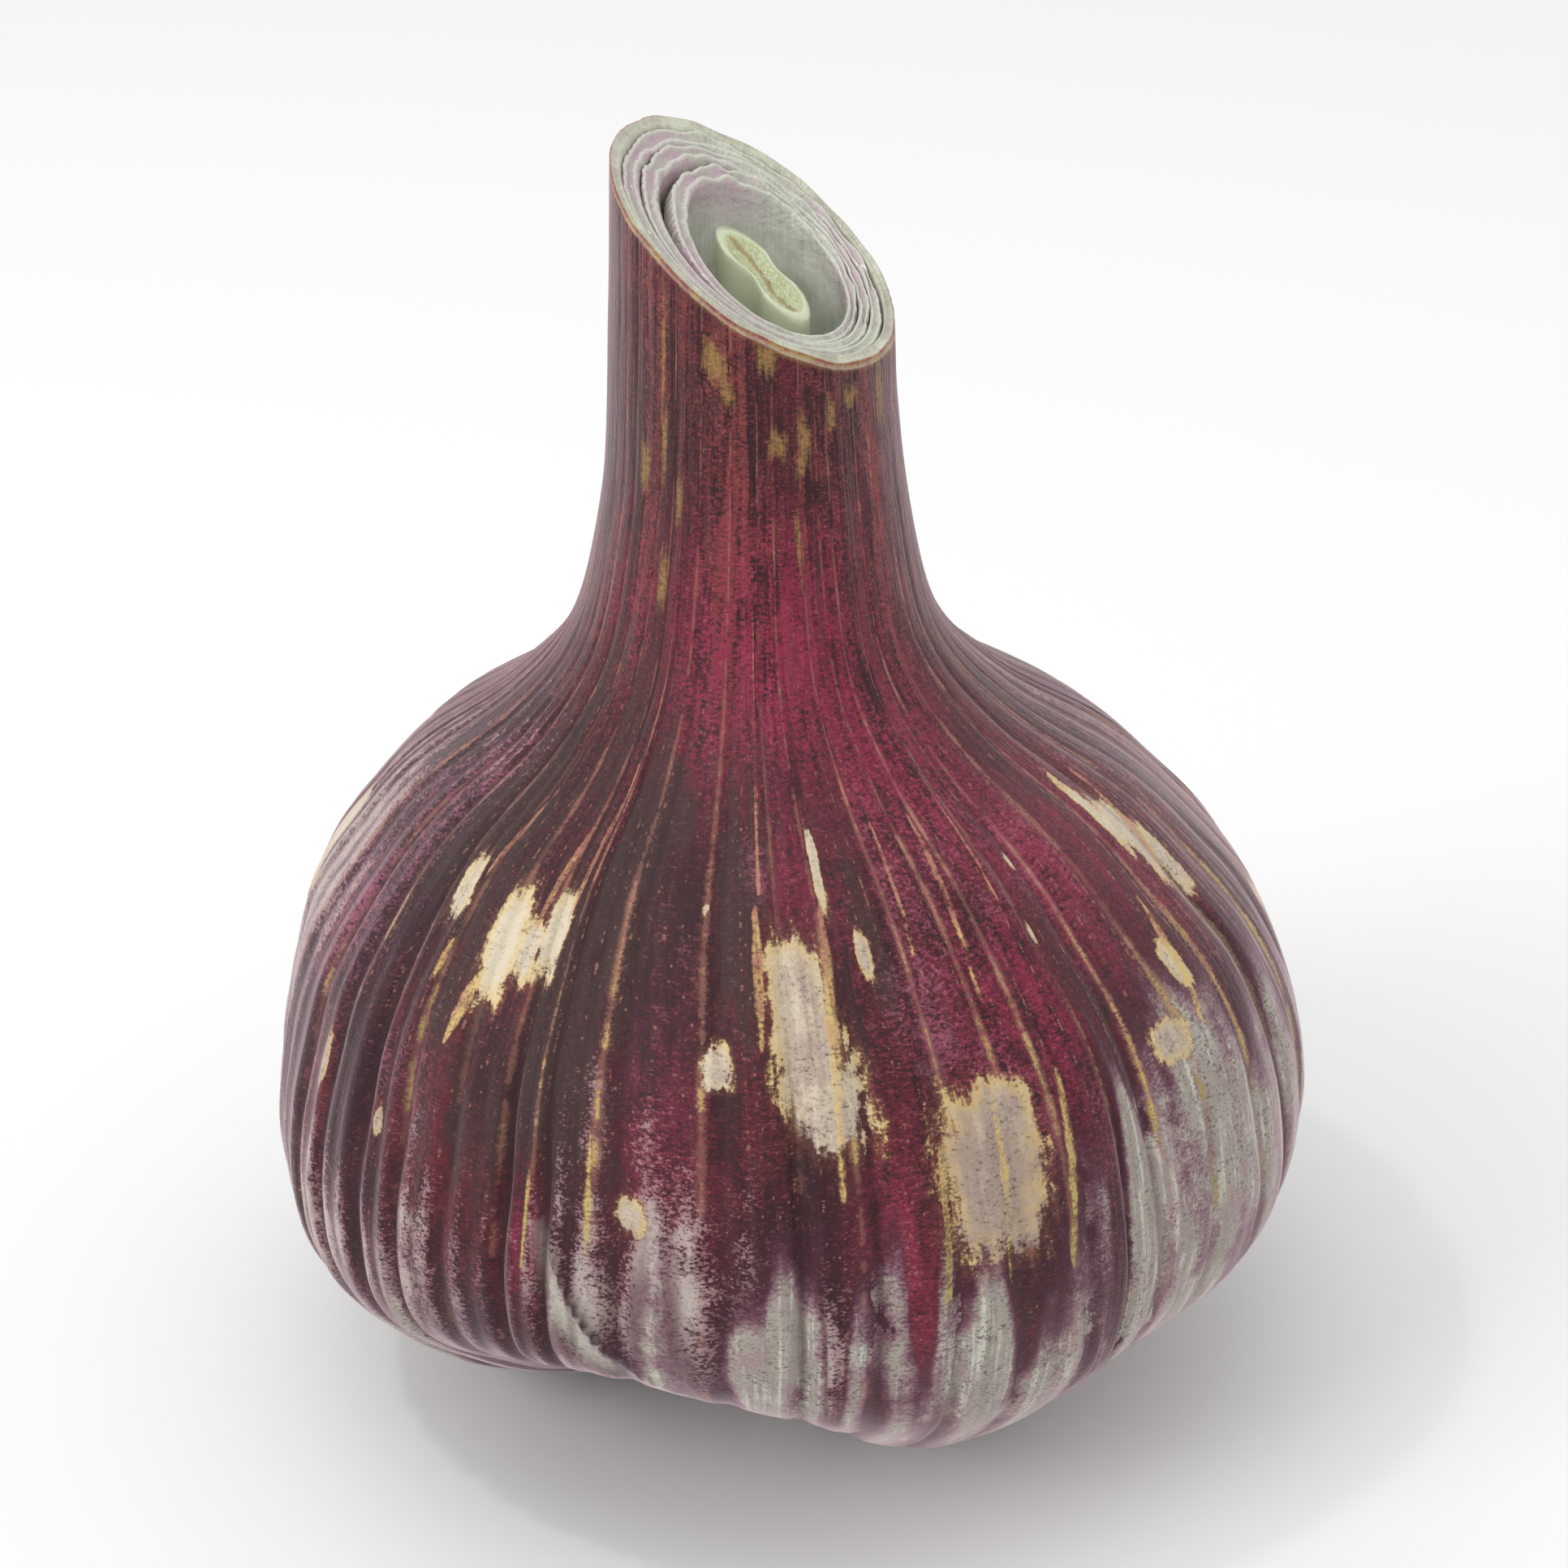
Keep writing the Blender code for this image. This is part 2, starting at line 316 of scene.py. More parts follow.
class Graph:
    """The node graph of one new material."""

    def __init__(self, name: str) -> None:
        """Starts the material with a Principled shader only.

        Args:
            name: The material's name.
        """
        self.material = bpy.data.materials.new(name)
        self.material.use_nodes = True
        self.tree = self.material.node_tree
        self.shader = self.tree.nodes["Principled BSDF"]

    def feed(self, socket: bpy.types.NodeSocket, value: object) -> None:
        """Links a field to a socket, or sets the socket's own number, vector or colour.

        Args:
            socket: The input.
            value: A field, number, vector or colour.
        """
        if isinstance(value, Field):
            self.tree.links.new(value.socket, socket)
        elif socket.type == "RGBA":
            socket.default_value = (*value, 1.0)
        else:
            socket.default_value = value

    def node(self, kind: str, settings: dict | None = None, sockets: dict | None = None) -> bpy.types.Node:
        """Adds a node.

        Args:
            kind: The node's type.
            settings: Its own options, which are set first.
            sockets: Values or fields by input name or number.

        Returns:
            The new node.
        """
        made = self.tree.nodes.new(kind)
        for option, value in (settings or {}).items():
            setattr(made, option, value)
        for key, value in (sockets or {}).items():
            self.feed(made.inputs[key], value)
        return made

    def maths(self, operation: str, first: Field | float, second: Field | float = 0.0) -> Field:
        """Returns the result of one Math node."""
        made = self.node("ShaderNodeMath", {"operation": operation}, {0: first, 1: second})
        return Field(self, made.outputs[0])

    def vector(self, x: Field | float, y: Field | float, z: Field | float) -> Field:
        """Returns a vector of three values."""
        return Field(self, self.node("ShaderNodeCombineXYZ", None, {0: x, 1: y, 2: z}).outputs[0])

    def scaled(self, vector: Field, factors: tuple[float, float, float]) -> Field:
        """Returns a vector with each of its parts multiplied by a number."""
        made = self.node("ShaderNodeVectorMath", {"operation": "MULTIPLY"}, {0: vector, 1: factors})
        return Field(self, made.outputs[0])

    def split(self, vector: Field) -> tuple[Field, Field, Field]:
        """Returns the three parts of a vector."""
        made = self.node("ShaderNodeSeparateXYZ", None, {0: vector})
        return Field(self, made.outputs[0]), Field(self, made.outputs[1]), Field(self, made.outputs[2])

    def attribute(self, name: str) -> Field:
        """Returns a vector attribute of the mesh."""
        return Field(self, self.node("ShaderNodeAttribute", {"attribute_name": name}).outputs["Vector"])

    def place(self) -> Field:
        """Returns the point's place on the object, in millimetres."""
        coordinates = Field(self, self.node("ShaderNodeTexCoord").outputs["Object"])
        return self.scaled(coordinates, (1 / MM, 1 / MM, 1 / MM))

    def noise(self, vector: Field, scale: float, detail: float = 2.0, roughness: float = 0.5) -> Field:
        """Returns a noise value about 0.5, from 0 to 1.

        Args:
            vector: Where the noise is read.
            scale: How fine it is.
            detail: How many finer layers it has.
            roughness: How strong the finer layers are.

        Returns:
            The noise.
        """
        made = self.node(
            "ShaderNodeTexNoise",
            {"noise_dimensions": "3D"},
            {"Vector": vector, "Scale": scale, "Detail": detail, "Roughness": roughness},
        )
        return Field(self, made.outputs[0])

    def cells(self, vector: Field, scale: float) -> tuple[Field, Field]:
        """Returns each random cell's own colour and the distance from the cell's middle."""
        made = self.node("ShaderNodeTexVoronoi", None, {"Vector": vector, "Scale": scale})
        return Field(self, made.outputs["Color"]), Field(self, made.outputs["Distance"])

    def blend(self, factor: Field | float, first: Field | Colour, second: Field | Colour) -> Field:
        """Returns the first colour where the factor is 0 and the second where it is 1."""
        made = self.node("ShaderNodeMix", {"data_type": "RGBA"}, {0: factor, 6: first, 7: second})
        return Field(self, made.outputs[2])

    def finish(
        self,
        colour: Field,
        roughness: Field | float,
        height: Field,
        relief: float,
        constants: dict[str, object],
    ) -> bpy.types.Material:
        """Feeds the shader.

        Args:
            colour: Base colour.
            roughness: Roughness.
            height: Height of the fine relief, from 0 to 1.
            relief: How high a height of 1 stands, in millimetres.
            constants: Numbers and colours that are the same all over, by socket name.

        Returns:
            The finished material.
        """
        inputs = {"Height": height, "Strength": 1.0, "Distance": relief * MM}
        bumped = self.node("ShaderNodeBump", None, inputs)
        self.feed(self.shader.inputs["Base Color"], colour)
        self.feed(self.shader.inputs["Roughness"], roughness)
        self.feed(self.shader.inputs["Normal"], Field(self, bumped.outputs[0]))
        for name, value in constants.items():
            self.feed(self.shader.inputs[name], value)
        return self.material


# Finishes. Colours are linear.


class SkinFields:
    """What the wrapper's mesh holds at a point of the skin, and the noises that its colours share.

    The mesh holds the place along the grain in millimetres, and marks of 0 to 1, three to an attribute:
    zones (pale, crimson, blackish), marks (patch, yellow streak, cut edge), form (groove, neck, fold),
    dust (granular dust and lilac, both of which also paint a sheen on the left side, and ochre) and
    tones (light stripes, width of the veins, the cut's skin edge).
    """

    def __init__(self, graph: Graph, ribs: int) -> None:
        """Adds the nodes.

        Args:
            graph: The material's graph.
            ribs: How many ribs there are round the skin.
        """
        place = graph.place()
        grain = graph.attribute("grain")
        x, y, self.along = graph.split(grain)
        self.rib = graph.maths("ARCTAN2", y, x) * (ribs / FULL_TURN)
        self.pale_zone, self.crimson_zone, self.black_zone = graph.split(graph.attribute("zones"))
        self.patch, self.streak, self.cut = graph.split(graph.attribute("marks"))
        self.groove, self.neck, self.fold = graph.split(graph.attribute("form"))
        self.dust_zone, self.lilac_zone, self.ochre_zone = graph.split(graph.attribute("dust"))
        self.light, self.vein_zone, self.skin_edge = graph.split(graph.attribute("tones"))

        def stretched(across: float, up: float, scale: float, detail: float, roughness: float) -> Field:
            """Returns a noise that is drawn out along the grain."""
            return graph.noise(graph.scaled(grain, (across, across, up)), scale, detail, roughness)

        self.fibre = stretched(1.0, 0.06, 2.6, 4.0, 0.6)
        self.bands = stretched(1.0, 0.05, 0.30, 2.0, 0.5)
        self.streaky = stretched(1.0, 0.12, 0.80, 3.0, 0.6)
        self.tatter = stretched(1.0, 0.42, 1.1, 5.0, 0.72)
        self.ticks = stretched(0.6, 2.6, 2.2, 3.0, 0.7)
        self.clump = stretched(1.0, 0.25, 1.0, 4.0, 0.65)
        self.soft = stretched(1.0, 0.16, 0.38, 2.0, 0.5)
        self.mottle = graph.noise(place, 0.55, 5.0, 0.62)
        grains = graph.cells(graph.scaled(place, (0.7, 0.7, 1.2)), 7.0)
        grit = graph.noise(graph.scaled(place, (1.0, 1.0, 1.6)), 3.8, 4.0, 0.8)
        self.grit = grit * 0.8 + graph.split(grains[0])[0] * 0.2
        dot_cells = graph.cells(graph.scaled(grain, (1.0, 1.0, 0.7)), 1.9)
        self.dots = graph.split(dot_cells[0])[0].ramp(0.45, 0.50) * (1 - dot_cells[1].ramp(0.08, 0.17))

        sway = (self.tatter - 0.5) * 0.9 + (self.mottle - 0.5) * (0.8 + self.neck * 2.6)
        cell = graph.maths("FLOOR", self.rib + sway)
        self.tone = graph.noise(graph.vector(cell * 3.71, self.along * 0.055, 3.1), 1.0, 1.0, 0.5)
        self.other_tone = graph.noise(graph.vector(cell * 5.13, self.along * 0.045, 17.3), 1.0, 1.0, 0.5)
        self.jitter = (self.grit - 0.5) * 0.24 + (self.tatter - 0.5) * 0.16
        self.torn = (self.fibre * 0.5 + self.grit * 0.5).ramp(0.36, 0.56)


@dataclass(frozen=True)
class SkinFinish:
    """The wrapper's dry skin: wine and blackish bands rib by rib, tan veins, cream patches, granular pale
    crests that on the left side also paint a sheen, a foggy pale underside, and pale flesh where the neck is
    cut.
    """

    aubergine: Colour = (0.026, 0.005, 0.008)
    wine: Colour = (0.125, 0.012, 0.022)
    crimson: Colour = (0.290, 0.019, 0.062)
    neck_brown: Colour = (0.240, 0.044, 0.044)
    blackish: Colour = (0.040, 0.022, 0.020)
    lilac: Colour = (0.380, 0.120, 0.190)
    rose: Colour = (0.340, 0.190, 0.210)
    chalk: Colour = (0.520, 0.450, 0.410)
    tan: Colour = (0.430, 0.190, 0.130)
    yellow: Colour = (0.620, 0.440, 0.160)
    olive: Colour = (0.440, 0.380, 0.110)
    cream: Colour = (0.650, 0.570, 0.430)
    cream_shade: Colour = (0.330, 0.245, 0.205)
    pale: Colour = (0.500, 0.480, 0.400)
    pale_rose: Colour = (0.480, 0.370, 0.360)
    pale_light: Colour = (0.620, 0.640, 0.530)
    haze: Colour = (0.260, 0.115, 0.165)
    purple: Colour = (0.064, 0.013, 0.026)
    ochre: Colour = (0.340, 0.200, 0.065)
    rust: Colour = (0.300, 0.110, 0.060)
    flesh: Colour = (0.620, 0.650, 0.510)
    flesh_shade: Colour = (0.440, 0.430, 0.350)
    ribs: int = 48

    def line_mask(
        self, graph: Graph, place: Field, along: Field, pitch: float, width: Field, ragged: Field
    ) -> Field:
        """Returns broken spindle-shaped lines that run up the skin.

        Args:
            graph: The material's graph.
            place: The place round the skin, in ribs.
            along: The place up the skin.
            pitch: How fast the lines break up, per millimetre.
            width: What is added to the lines' width.
            ragged: What moves their edges.

        Returns:
            The mask, from 0 to 1.
        """
        inputs = {"W": place, "Scale": 1.0, "Randomness": 0.5}
        cells = graph.node("ShaderNodeTexVoronoi", {"voronoi_dimensions": "1D"}, inputs)
        number = graph.split(Field(graph, cells.outputs["Color"]))[0]
        present = graph.noise(graph.vector(number * 61.0, along * pitch, number * 17.0), 1.0, 4.0, 0.7)
        half = ((present - 0.5) * 0.27 + width).most(0.0)
        apart = Field(graph, cells.outputs["Distance"]) + ragged
        return half.ramp(0.0, 0.012) * (1 - apart.ramp(half * 0.6, half + 0.03))

    def ground(self, graph: Graph, skin: SkinFields) -> tuple[Field, Field]:
        """Returns the wine, crimson, brown and blackish bands of the skin, and where it is blackish.

        Args:
            graph: The material's graph.
            skin: What the skin holds at the point.

        Returns:
            The colour, and where it is blackish.
        """
        grit, ticks, clump, neck = skin.grit - 0.5, skin.ticks - 0.5, skin.clump - 0.5, skin.neck
        wine = skin.tone * 0.40 + skin.streaky * 0.3 + skin.clump * 0.30 + grit * 0.40 + ticks * 0.25
        colour = graph.blend(wine.ramp(0.43, 0.64), self.aubergine, self.wine)
        brown = skin.clump * 0.25 + skin.bands * 0.3 + skin.streaky * 0.25 + skin.mottle * 0.2
        brown = brown + ticks * 0.2 + grit * 0.25
        colour = graph.blend(neck * brown.ramp(0.45, 0.60), colour, self.neck_brown)
        red = skin.other_tone * 0.35 + skin.mottle * 0.25 + skin.clump * 0.40 + ticks * 0.25 + grit * 0.35
        red = skin.crimson_zone * red.ramp(0.37, 0.56)
        colour = graph.blend(red, colour, self.crimson)
        black = skin.black_zone + (skin.other_tone - 0.5) * (2.6 - neck * 1.4)
        black = black + (skin.streaky - 0.5) * 1.6 + clump * 2.0 + (skin.tatter - 0.5) * 0.9
        black = (black + 0.16 + neck * 0.08).ramp(0.18, 0.80) * (1 - red * 0.5)
        colour = graph.blend(black * 0.92, colour, self.blackish)

        light_ticks = (skin.ticks * 0.5 + skin.grit * 0.5 + clump * 0.3).ramp(0.56, 0.68)
        colour = graph.blend(light_ticks * (0.28 - black * 0.12), colour, self.rose)
        # Lilac grains; on the left side they also paint a sheen as lighter colour.
        lilac = skin.grit * 0.55 + skin.mottle * 0.30 + skin.bands * 0.15
        lilac = lilac + (skin.lilac_zone - 0.9) * 0.22 + (skin.tone - 0.5) * 0.3
        colour = graph.blend(lilac.ramp(0.44, 0.62) * (0.2 + skin.lilac_zone * 0.5), colour, self.lilac)
        return colour, black

    def dusted_with_painted_sheen(self, graph: Graph, skin: SkinFields, colour: Field) -> Field:
        """Returns the colour with granular pale crests, which on the left side also paint a sheen, rows of
        dots and fine lines.

        Args:
            graph: The material's graph.
            skin: What the skin holds at the point.
            colour: The colour so far.

        Returns:
            The new colour.
        """
        cover = skin.dust_zone * 2.0 - skin.groove * 1.6 + (skin.mottle - 0.5) * 1.4
        cover = cover + (skin.tone - 0.5) * 1.2 + (skin.clump - 0.5) * 1.4
        dust = (skin.grit + (cover - 1.0) * 0.30).ramp(0.40, 0.58) * (1 - skin.neck)
        dust_and_sheen_colour = graph.blend(cover.ramp(0.7, 1.6), self.rose, self.chalk)
        colour = graph.blend(dust * 0.8, colour, dust_and_sheen_colour)
        colour = graph.blend(skin.dots * 0.5 * (1 - skin.neck), colour, self.tan)
        width = skin.vein_zone * 0.5 - 0.01
        fine = self.line_mask(graph, skin.rib * 2.0 + 0.41, skin.along, 1.6, width, skin.jitter)
        return graph.blend(fine * 0.6, colour, self.tan)

    def paled(self, graph: Graph, skin: SkinFields, colour: Field) -> Field:
        """Returns the colour with the foggy pale underside over it.

        Args:
            graph: The material's graph.
            skin: What the skin holds at the point.
            colour: The colour so far.

        Returns:
            The new colour.
        """
        pale = skin.pale_zone * 1.25 + (skin.tone - 0.5) * 2.8 + (skin.soft - 0.5) * 3.6
        pale = pale + (skin.mottle - 0.5) * 1.4 - skin.groove * 1.5
        near = skin.pale_zone.ramp(-0.8, 0.0)
        grit = skin.grit - 0.5
        colour = graph.blend(pale.ramp(-1.1, -0.2) * near * 0.75, colour, self.purple)
        smooth = (0.5 + (skin.other_tone - 0.5) * 3.0).most(0.1).least(1.0)
        haze = (pale + grit * (1.1 - smooth)).ramp(-0.35, 0.35) * near
        colour = graph.blend(haze * 0.65, colour, self.haze)
        here = (pale + grit * (1.7 - smooth * 1.2)).ramp(0.0, 0.75)
        tint = graph.blend((skin.mottle * 0.5 + skin.soft * 0.5).ramp(0.42, 0.58), self.pale_rose, self.pale)
        light = here.ramp(0.8, 1.0) * (skin.fibre * 0.5 + skin.clump * 0.5).ramp(0.45, 0.6)
        colour = graph.blend(here * 0.95, colour, graph.blend(light * 0.6, tint, self.pale_light))
        freckles = (0.5 - skin.grit).ramp(0.05, 0.13)
        freckles = freckles * (skin.mottle - 0.5 + (skin.tone - 0.5) * 0.8).ramp(-0.05, 0.1)
        colour = graph.blend(here * freckles * 0.7, colour, self.purple)
        thread = (skin.fibre * 0.6 + skin.clump * 0.4).ramp(0.62, 0.50)
        return graph.blend(haze * thread * 0.35, colour, self.purple)

    def veined(self, graph: Graph, skin: SkinFields, colour: Field) -> tuple[Field, Field]:
        """Returns the colour with the broken veins between the ribs, and where they are.

        Args:
            graph: The material's graph.
            skin: What the skin holds at the point.
            colour: The colour so far.

        Returns:
            The new colour, and where the veins are.
        """
        vein_colour = graph.blend(skin.along.ramp(40.0, 46.0), self.olive, self.yellow)
        high = (skin.along + (skin.mottle - 0.5) * 40.0).ramp(46.0, 58.0)
        vein_colour = graph.blend(high, vein_colour, self.tan)
        place = skin.rib + 0.27
        veins = self.line_mask(graph, place, skin.along, 0.2, skin.vein_zone, skin.jitter)
        halo = self.line_mask(graph, place, skin.along, 0.2, skin.vein_zone + 0.035, skin.jitter)
        colour = graph.blend(halo * 0.35, colour, self.tan)
        return graph.blend(veins * (0.15 + skin.torn * 0.8), colour, vein_colour), veins

    def patched(self, graph: Graph, skin: SkinFields, colour: Field) -> tuple[Field, Field]:
        """Returns the colour with the cream patches, the yellow streaks and the fold, and the patches.

        Args:
            graph: The material's graph.
            skin: What the skin holds at the point.
            colour: The colour so far.

        Returns:
            The new colour, and where the patches are.
        """
        ragged = (skin.tatter - 0.5) * 2.0 + (skin.fibre - 0.5) * 0.6 + (skin.grit - 0.5) * 0.9
        ragged = ragged + (skin.mottle - 0.5) * 1.6 + (skin.tone - 0.5) * 1.2
        halo = (skin.patch.most(skin.streak) + ragged * 0.45).ramp(-0.16, 0.08)
        colour = graph.blend(halo * 0.22, colour, self.rust)
        here = (skin.patch + ragged * 0.55 - skin.groove * 0.12).ramp(0.02, 0.22)
        grained = skin.fibre * 0.25 + skin.grit * 0.25 + skin.clump * 0.2 + skin.mottle * 0.30
        grained = grained + (skin.light - 0.55) * 0.30
        cream = graph.blend(grained.ramp(0.34, 0.66), self.cream_shade, self.cream)
        specks = (0.5 - skin.grit).ramp(0.07, 0.18) * (0.95 - skin.light * 0.6).most(0.0)
        cream = graph.blend(specks * (0.52 - skin.mottle).ramp(-0.1, 0.05), cream, self.purple)
        edge = 1 - (skin.patch + ragged * 0.45).ramp(0.05, 0.65)
        edge = edge * (skin.mottle * 0.6 + skin.tone * 0.4).ramp(0.40, 0.54)
        cream = graph.blend(edge * 0.85, cream, self.yellow)
        colour = graph.blend(here, colour, cream)
        streak_here = (skin.streak + ragged * 0.75).ramp(0.0, 0.55)
        streak_colour = graph.blend(skin.along.ramp(38.0, 45.0), self.olive, self.yellow)
        high = (skin.along + (skin.mottle - 0.5) * 40.0).ramp(50.0, 62.0)
        streak_colour = graph.blend(high, streak_colour, self.tan)
        colour = graph.blend(streak_here * (0.25 + skin.torn * 0.7), colour, streak_colour)
        colour = graph.blend(skin.fold.most(0.0) * 0.85, colour, self.pale)
        return graph.blend((0.0 - skin.fold).most(0.0) * 0.9, colour, self.aubergine), here

    def stained_with_painted_groove_shade(self, graph: Graph, skin: SkinFields, colour: Field, patch_here: Field) -> Field:
        """Returns the colour with the neck's stains, with the grooves darkened by painted shade, and with
        dark pores painted as shade where the fine relief is low.

        Args:
            graph: The material's graph.
            skin: What the skin holds at the point.
            colour: The colour so far.
            patch_here: Where the patches are.

        Returns:
            The new colour.
        """
        stain = skin.ochre_zone + (skin.tatter - 0.5) * 2.2 + (skin.clump - 0.5) * 1.6
        stain = stain + (skin.grit - 0.5) * 0.8
        colour = graph.blend(stain.ramp(-0.50, 0.60) * (0.35 + skin.torn * 0.45), colour, self.ochre)
        # Painted shade: dark lines and a broad darkening along the grooves between the ribs, weaker on the
        # patches and the neck.
        apart = graph.maths("ABSOLUTE", graph.maths("FRACT", skin.rib * 2.0 + 0.5) - 0.5)
        line = 1 - (apart + (skin.tatter - 0.5) * 0.16).ramp(0.04, 0.20)
        line = line * (skin.groove * 0.9).least(1.0)
        dark = graph.blend(0.75, colour, self.aubergine)
        hidden = (1 - patch_here * 0.7) * (1 - skin.neck * 0.75)
        colour = graph.blend((line * 0.8 + skin.groove.least(1.0) * 0.15) * hidden, colour, dark)
        # Painted shade: dark pores where the fine relief's height is low.
        depth = (0.5 - (skin.grit * 0.65 + skin.tatter * 0.35)).ramp(-0.04, 0.14)
        return graph.blend(depth * 0.34 * (1 - patch_here * 0.8), colour, self.aubergine)

    def make(self) -> bpy.types.Material:
        """Returns the material.

        Returns:
            The finished material.
        """
        graph = Graph("striped_skin")
        skin = SkinFields(graph, self.ribs)
        colour, black = self.ground(graph, skin)
        colour = self.paled(graph, skin, self.dusted_with_painted_sheen(graph, skin, colour))
        colour, veins = self.veined(graph, skin, colour)
        colour, patch_here = self.patched(graph, skin, colour)
        colour = self.stained_with_painted_groove_shade(graph, skin, colour, patch_here)
        flesh_tone = (skin.fibre * 0.4 + skin.mottle * 0.6).ramp(0.40, 0.60)
        flesh = graph.blend(flesh_tone, self.flesh_shade, self.flesh)
        colour = graph.blend(skin.cut.ramp(0.35, 0.6), colour, flesh)
        edge_tone = (skin.mottle * 0.6 + skin.grit * 0.4).ramp(0.42, 0.56)
        colour = graph.blend(skin.skin_edge, colour, graph.blend(edge_tone, self.neck_brown, self.ochre))

        roughness = 0.42 + skin.mottle * 0.16 + black * 0.05 - skin.cut * 0.26
        height = skin.fibre * 0.45 + skin.grit * 0.25 + skin.tatter * 0.2 + skin.ticks * 0.12
        height = height - veins * 0.12 + patch_here * 0.1
        constants = {"Specular IOR Level": 0.26, "Sheen Weight": 0.9, "Sheen Roughness": 0.30}
        constants["Sheen Tint"] = (1.0, 0.80, 0.84)
        return graph.finish(colour, roughness, height, 0.14, constants)


@dataclass(frozen=True)
class SheathFinish:
    """A moist leaf sheath: pale green and mauve, with brighter glossy lips whose crests are partly a paler
    edge and partly a painted highlight.

    It reads the sheath's attributes: grain (where on the sheath) and lips (lip, depth, mauve).
    """

    flesh: Colour = (0.540, 0.560, 0.460)
    shade: Colour = (0.360, 0.370, 0.300)
    mauve: Colour = (0.430, 0.270, 0.340)
    vein: Colour = (0.520, 0.545, 0.470)
    # The lips' crest colour: partly a paler cut edge, partly a painted highlight.
    lip: Colour = (0.640, 0.660, 0.550)
    # Painted light: a lighter colour for the wall deep in the bore, against the shade that falls there.
    painted_light_inner_wall: Colour = (0.700, 0.710, 0.630)

    def make(self) -> bpy.types.Material:
        """Returns the material.

        Returns:
            The finished material.
        """
        graph = Graph("moist_sheath")
        place = graph.place()
        grain = graph.attribute("grain")
        lip, depth, mauve = graph.split(graph.attribute("lips"))
        fibre = graph.noise(graph.scaled(grain, (1.0, 1.0, 0.10)), 1.6, 4.0, 0.6)
        cloud = graph.noise(place, 0.7, 3.0, 0.55)
        colour = graph.blend((fibre * 0.5 + cloud * 0.5).ramp(0.36, 0.60), self.shade, self.flesh)
        # Painted light: down the bore the real veins and the wall take lighter colours to cancel the
        # hollow's shade.
        deep_wall_painted_light = graph.blend((fibre * 0.35 + cloud * 0.65).ramp(0.36, 0.60), self.vein, self.painted_light_inner_wall)
        colour = graph.blend(depth, colour, deep_wall_painted_light)
        tinted = mauve * (cloud * 0.6 + fibre * 0.4).ramp(0.36, 0.56) * 0.9
        colour = graph.blend(tinted, colour, self.mauve)
        # Lips' crests painted lighter: partly a paler edge, partly a painted highlight.
        colour = graph.blend(lip.ramp(0.55, 1.0) * 0.6, colour, self.lip)
        roughness = 0.16 + cloud * 0.14
        wet = graph.noise(place, 2.4, 2.0, 0.5)
        height = fibre * 0.4 * (1 - depth * 0.6) + cloud * 0.2 + wet * 1.1 * (1 - depth)
        return graph.finish(colour, roughness, height, 0.16, {"Coat Weight": 0.8, "Coat Roughness": 0.06})


@dataclass(frozen=True)
class StalkFinish:
    """The cut flower stalk: a smooth pale rim round wet granular pith with a brown streak.

    It reads the stalk's attribute pith (how far inside the rim, distance from the streak, side).
    """

    rim: Colour = (0.560, 0.620, 0.420)
    pith: Colour = (0.480, 0.520, 0.260)
    light: Colour = (0.700, 0.740, 0.540)
    brown: Colour = (0.260, 0.150, 0.040)
    tan: Colour = (0.440, 0.360, 0.120)

    def make(self) -> bpy.types.Material:
        """Returns the material.

        Returns:
            The finished material.
        """
        graph = Graph("wet_stalk")
        place = graph.place()
        inside, streak, _ = graph.split(graph.attribute("pith"))
        grains = graph.noise(place, 4.5, 3.0, 0.6)
        cloud = graph.noise(place, 1.1, 3.0, 0.6)
        colour = graph.blend(inside.ramp(0.2, 0.5), self.rim, self.pith)
        colour = graph.blend(inside * grains.ramp(0.48, 0.62) * 0.7, colour, self.light)
        blot = (streak * 0.9 + (cloud - 0.5) * 2.6 + (grains - 0.5) * 0.6).ramp(0.35, 0.95)
        colour = graph.blend(blot * streak.ramp(0.05, 0.4) * 0.8, colour, self.brown)
        colour = graph.blend(streak.ramp(0.3, 0.9) * 0.25, colour, self.tan)
        roughness = 0.14 + cloud * 0.12
        wet = {"Coat Weight": 0.6, "Coat Roughness": 0.08}
        return graph.finish(colour, roughness, grains * inside + cloud * 0.3, 0.20, wet)


@dataclass(frozen=True)
class CorkFinish:
    """The root plate's dry cork and trimmed roots."""

    dark: Colour = (0.200, 0.130, 0.070)
    light: Colour = (0.480, 0.400, 0.270)

    def make(self) -> bpy.types.Material:
        """Returns the material.

        Returns:
            The finished material.
        """
        graph = Graph("dry_cork")
        place = graph.place()
        cloud = graph.noise(place, 0.8, 4.0, 0.65)
        strands = graph.noise(graph.scaled(place, (1.0, 1.0, 0.25)), 3.5, 4.0, 0.7)
        colour = graph.blend((cloud * 0.5 + strands * 0.5).ramp(0.38, 0.62), self.dark, self.light)
        return graph.finish(colour, 0.78 + cloud * 0.12, strands * 0.7 + cloud * 0.3, 0.12, {})


@dataclass(frozen=True)
class FloorFinish:
    """The studio floor: even, pale and matte."""

    colour: Colour = (0.86, 0.86, 0.86)

    def make(self) -> bpy.types.Material:
        """Returns the material.

        Returns:
            The finished material.
        """
        graph = Graph("pale_floor")
        cloud = graph.noise(graph.place(), 0.02, 2.0, 0.5)
        colour = graph.blend(cloud * 0.02, self.colour, (0.84, 0.84, 0.84))
        return graph.finish(colour, 0.9, cloud, 0.01, {"Specular IOR Level": 0.0})


# Tables of what the skin shows. Columns in degrees, along in millimetres.


@dataclass(frozen=True)
class Patch:
    """One cream patch on the skin."""

    column: float
    along: float
    half_width: float
    half_height: float
    light: float = 0.6


@dataclass(frozen=True)
class Streak:
    """One yellow streak that runs up the skin between two points."""

    low: tuple[float, float]
    high: tuple[float, float]
    half_width: float


@dataclass(frozen=True)
class Glow:
    """A soft zone of the skin, strongest in its middle."""

    column: float
    along: float
    half_width: float
    half_height: float
    strength: float


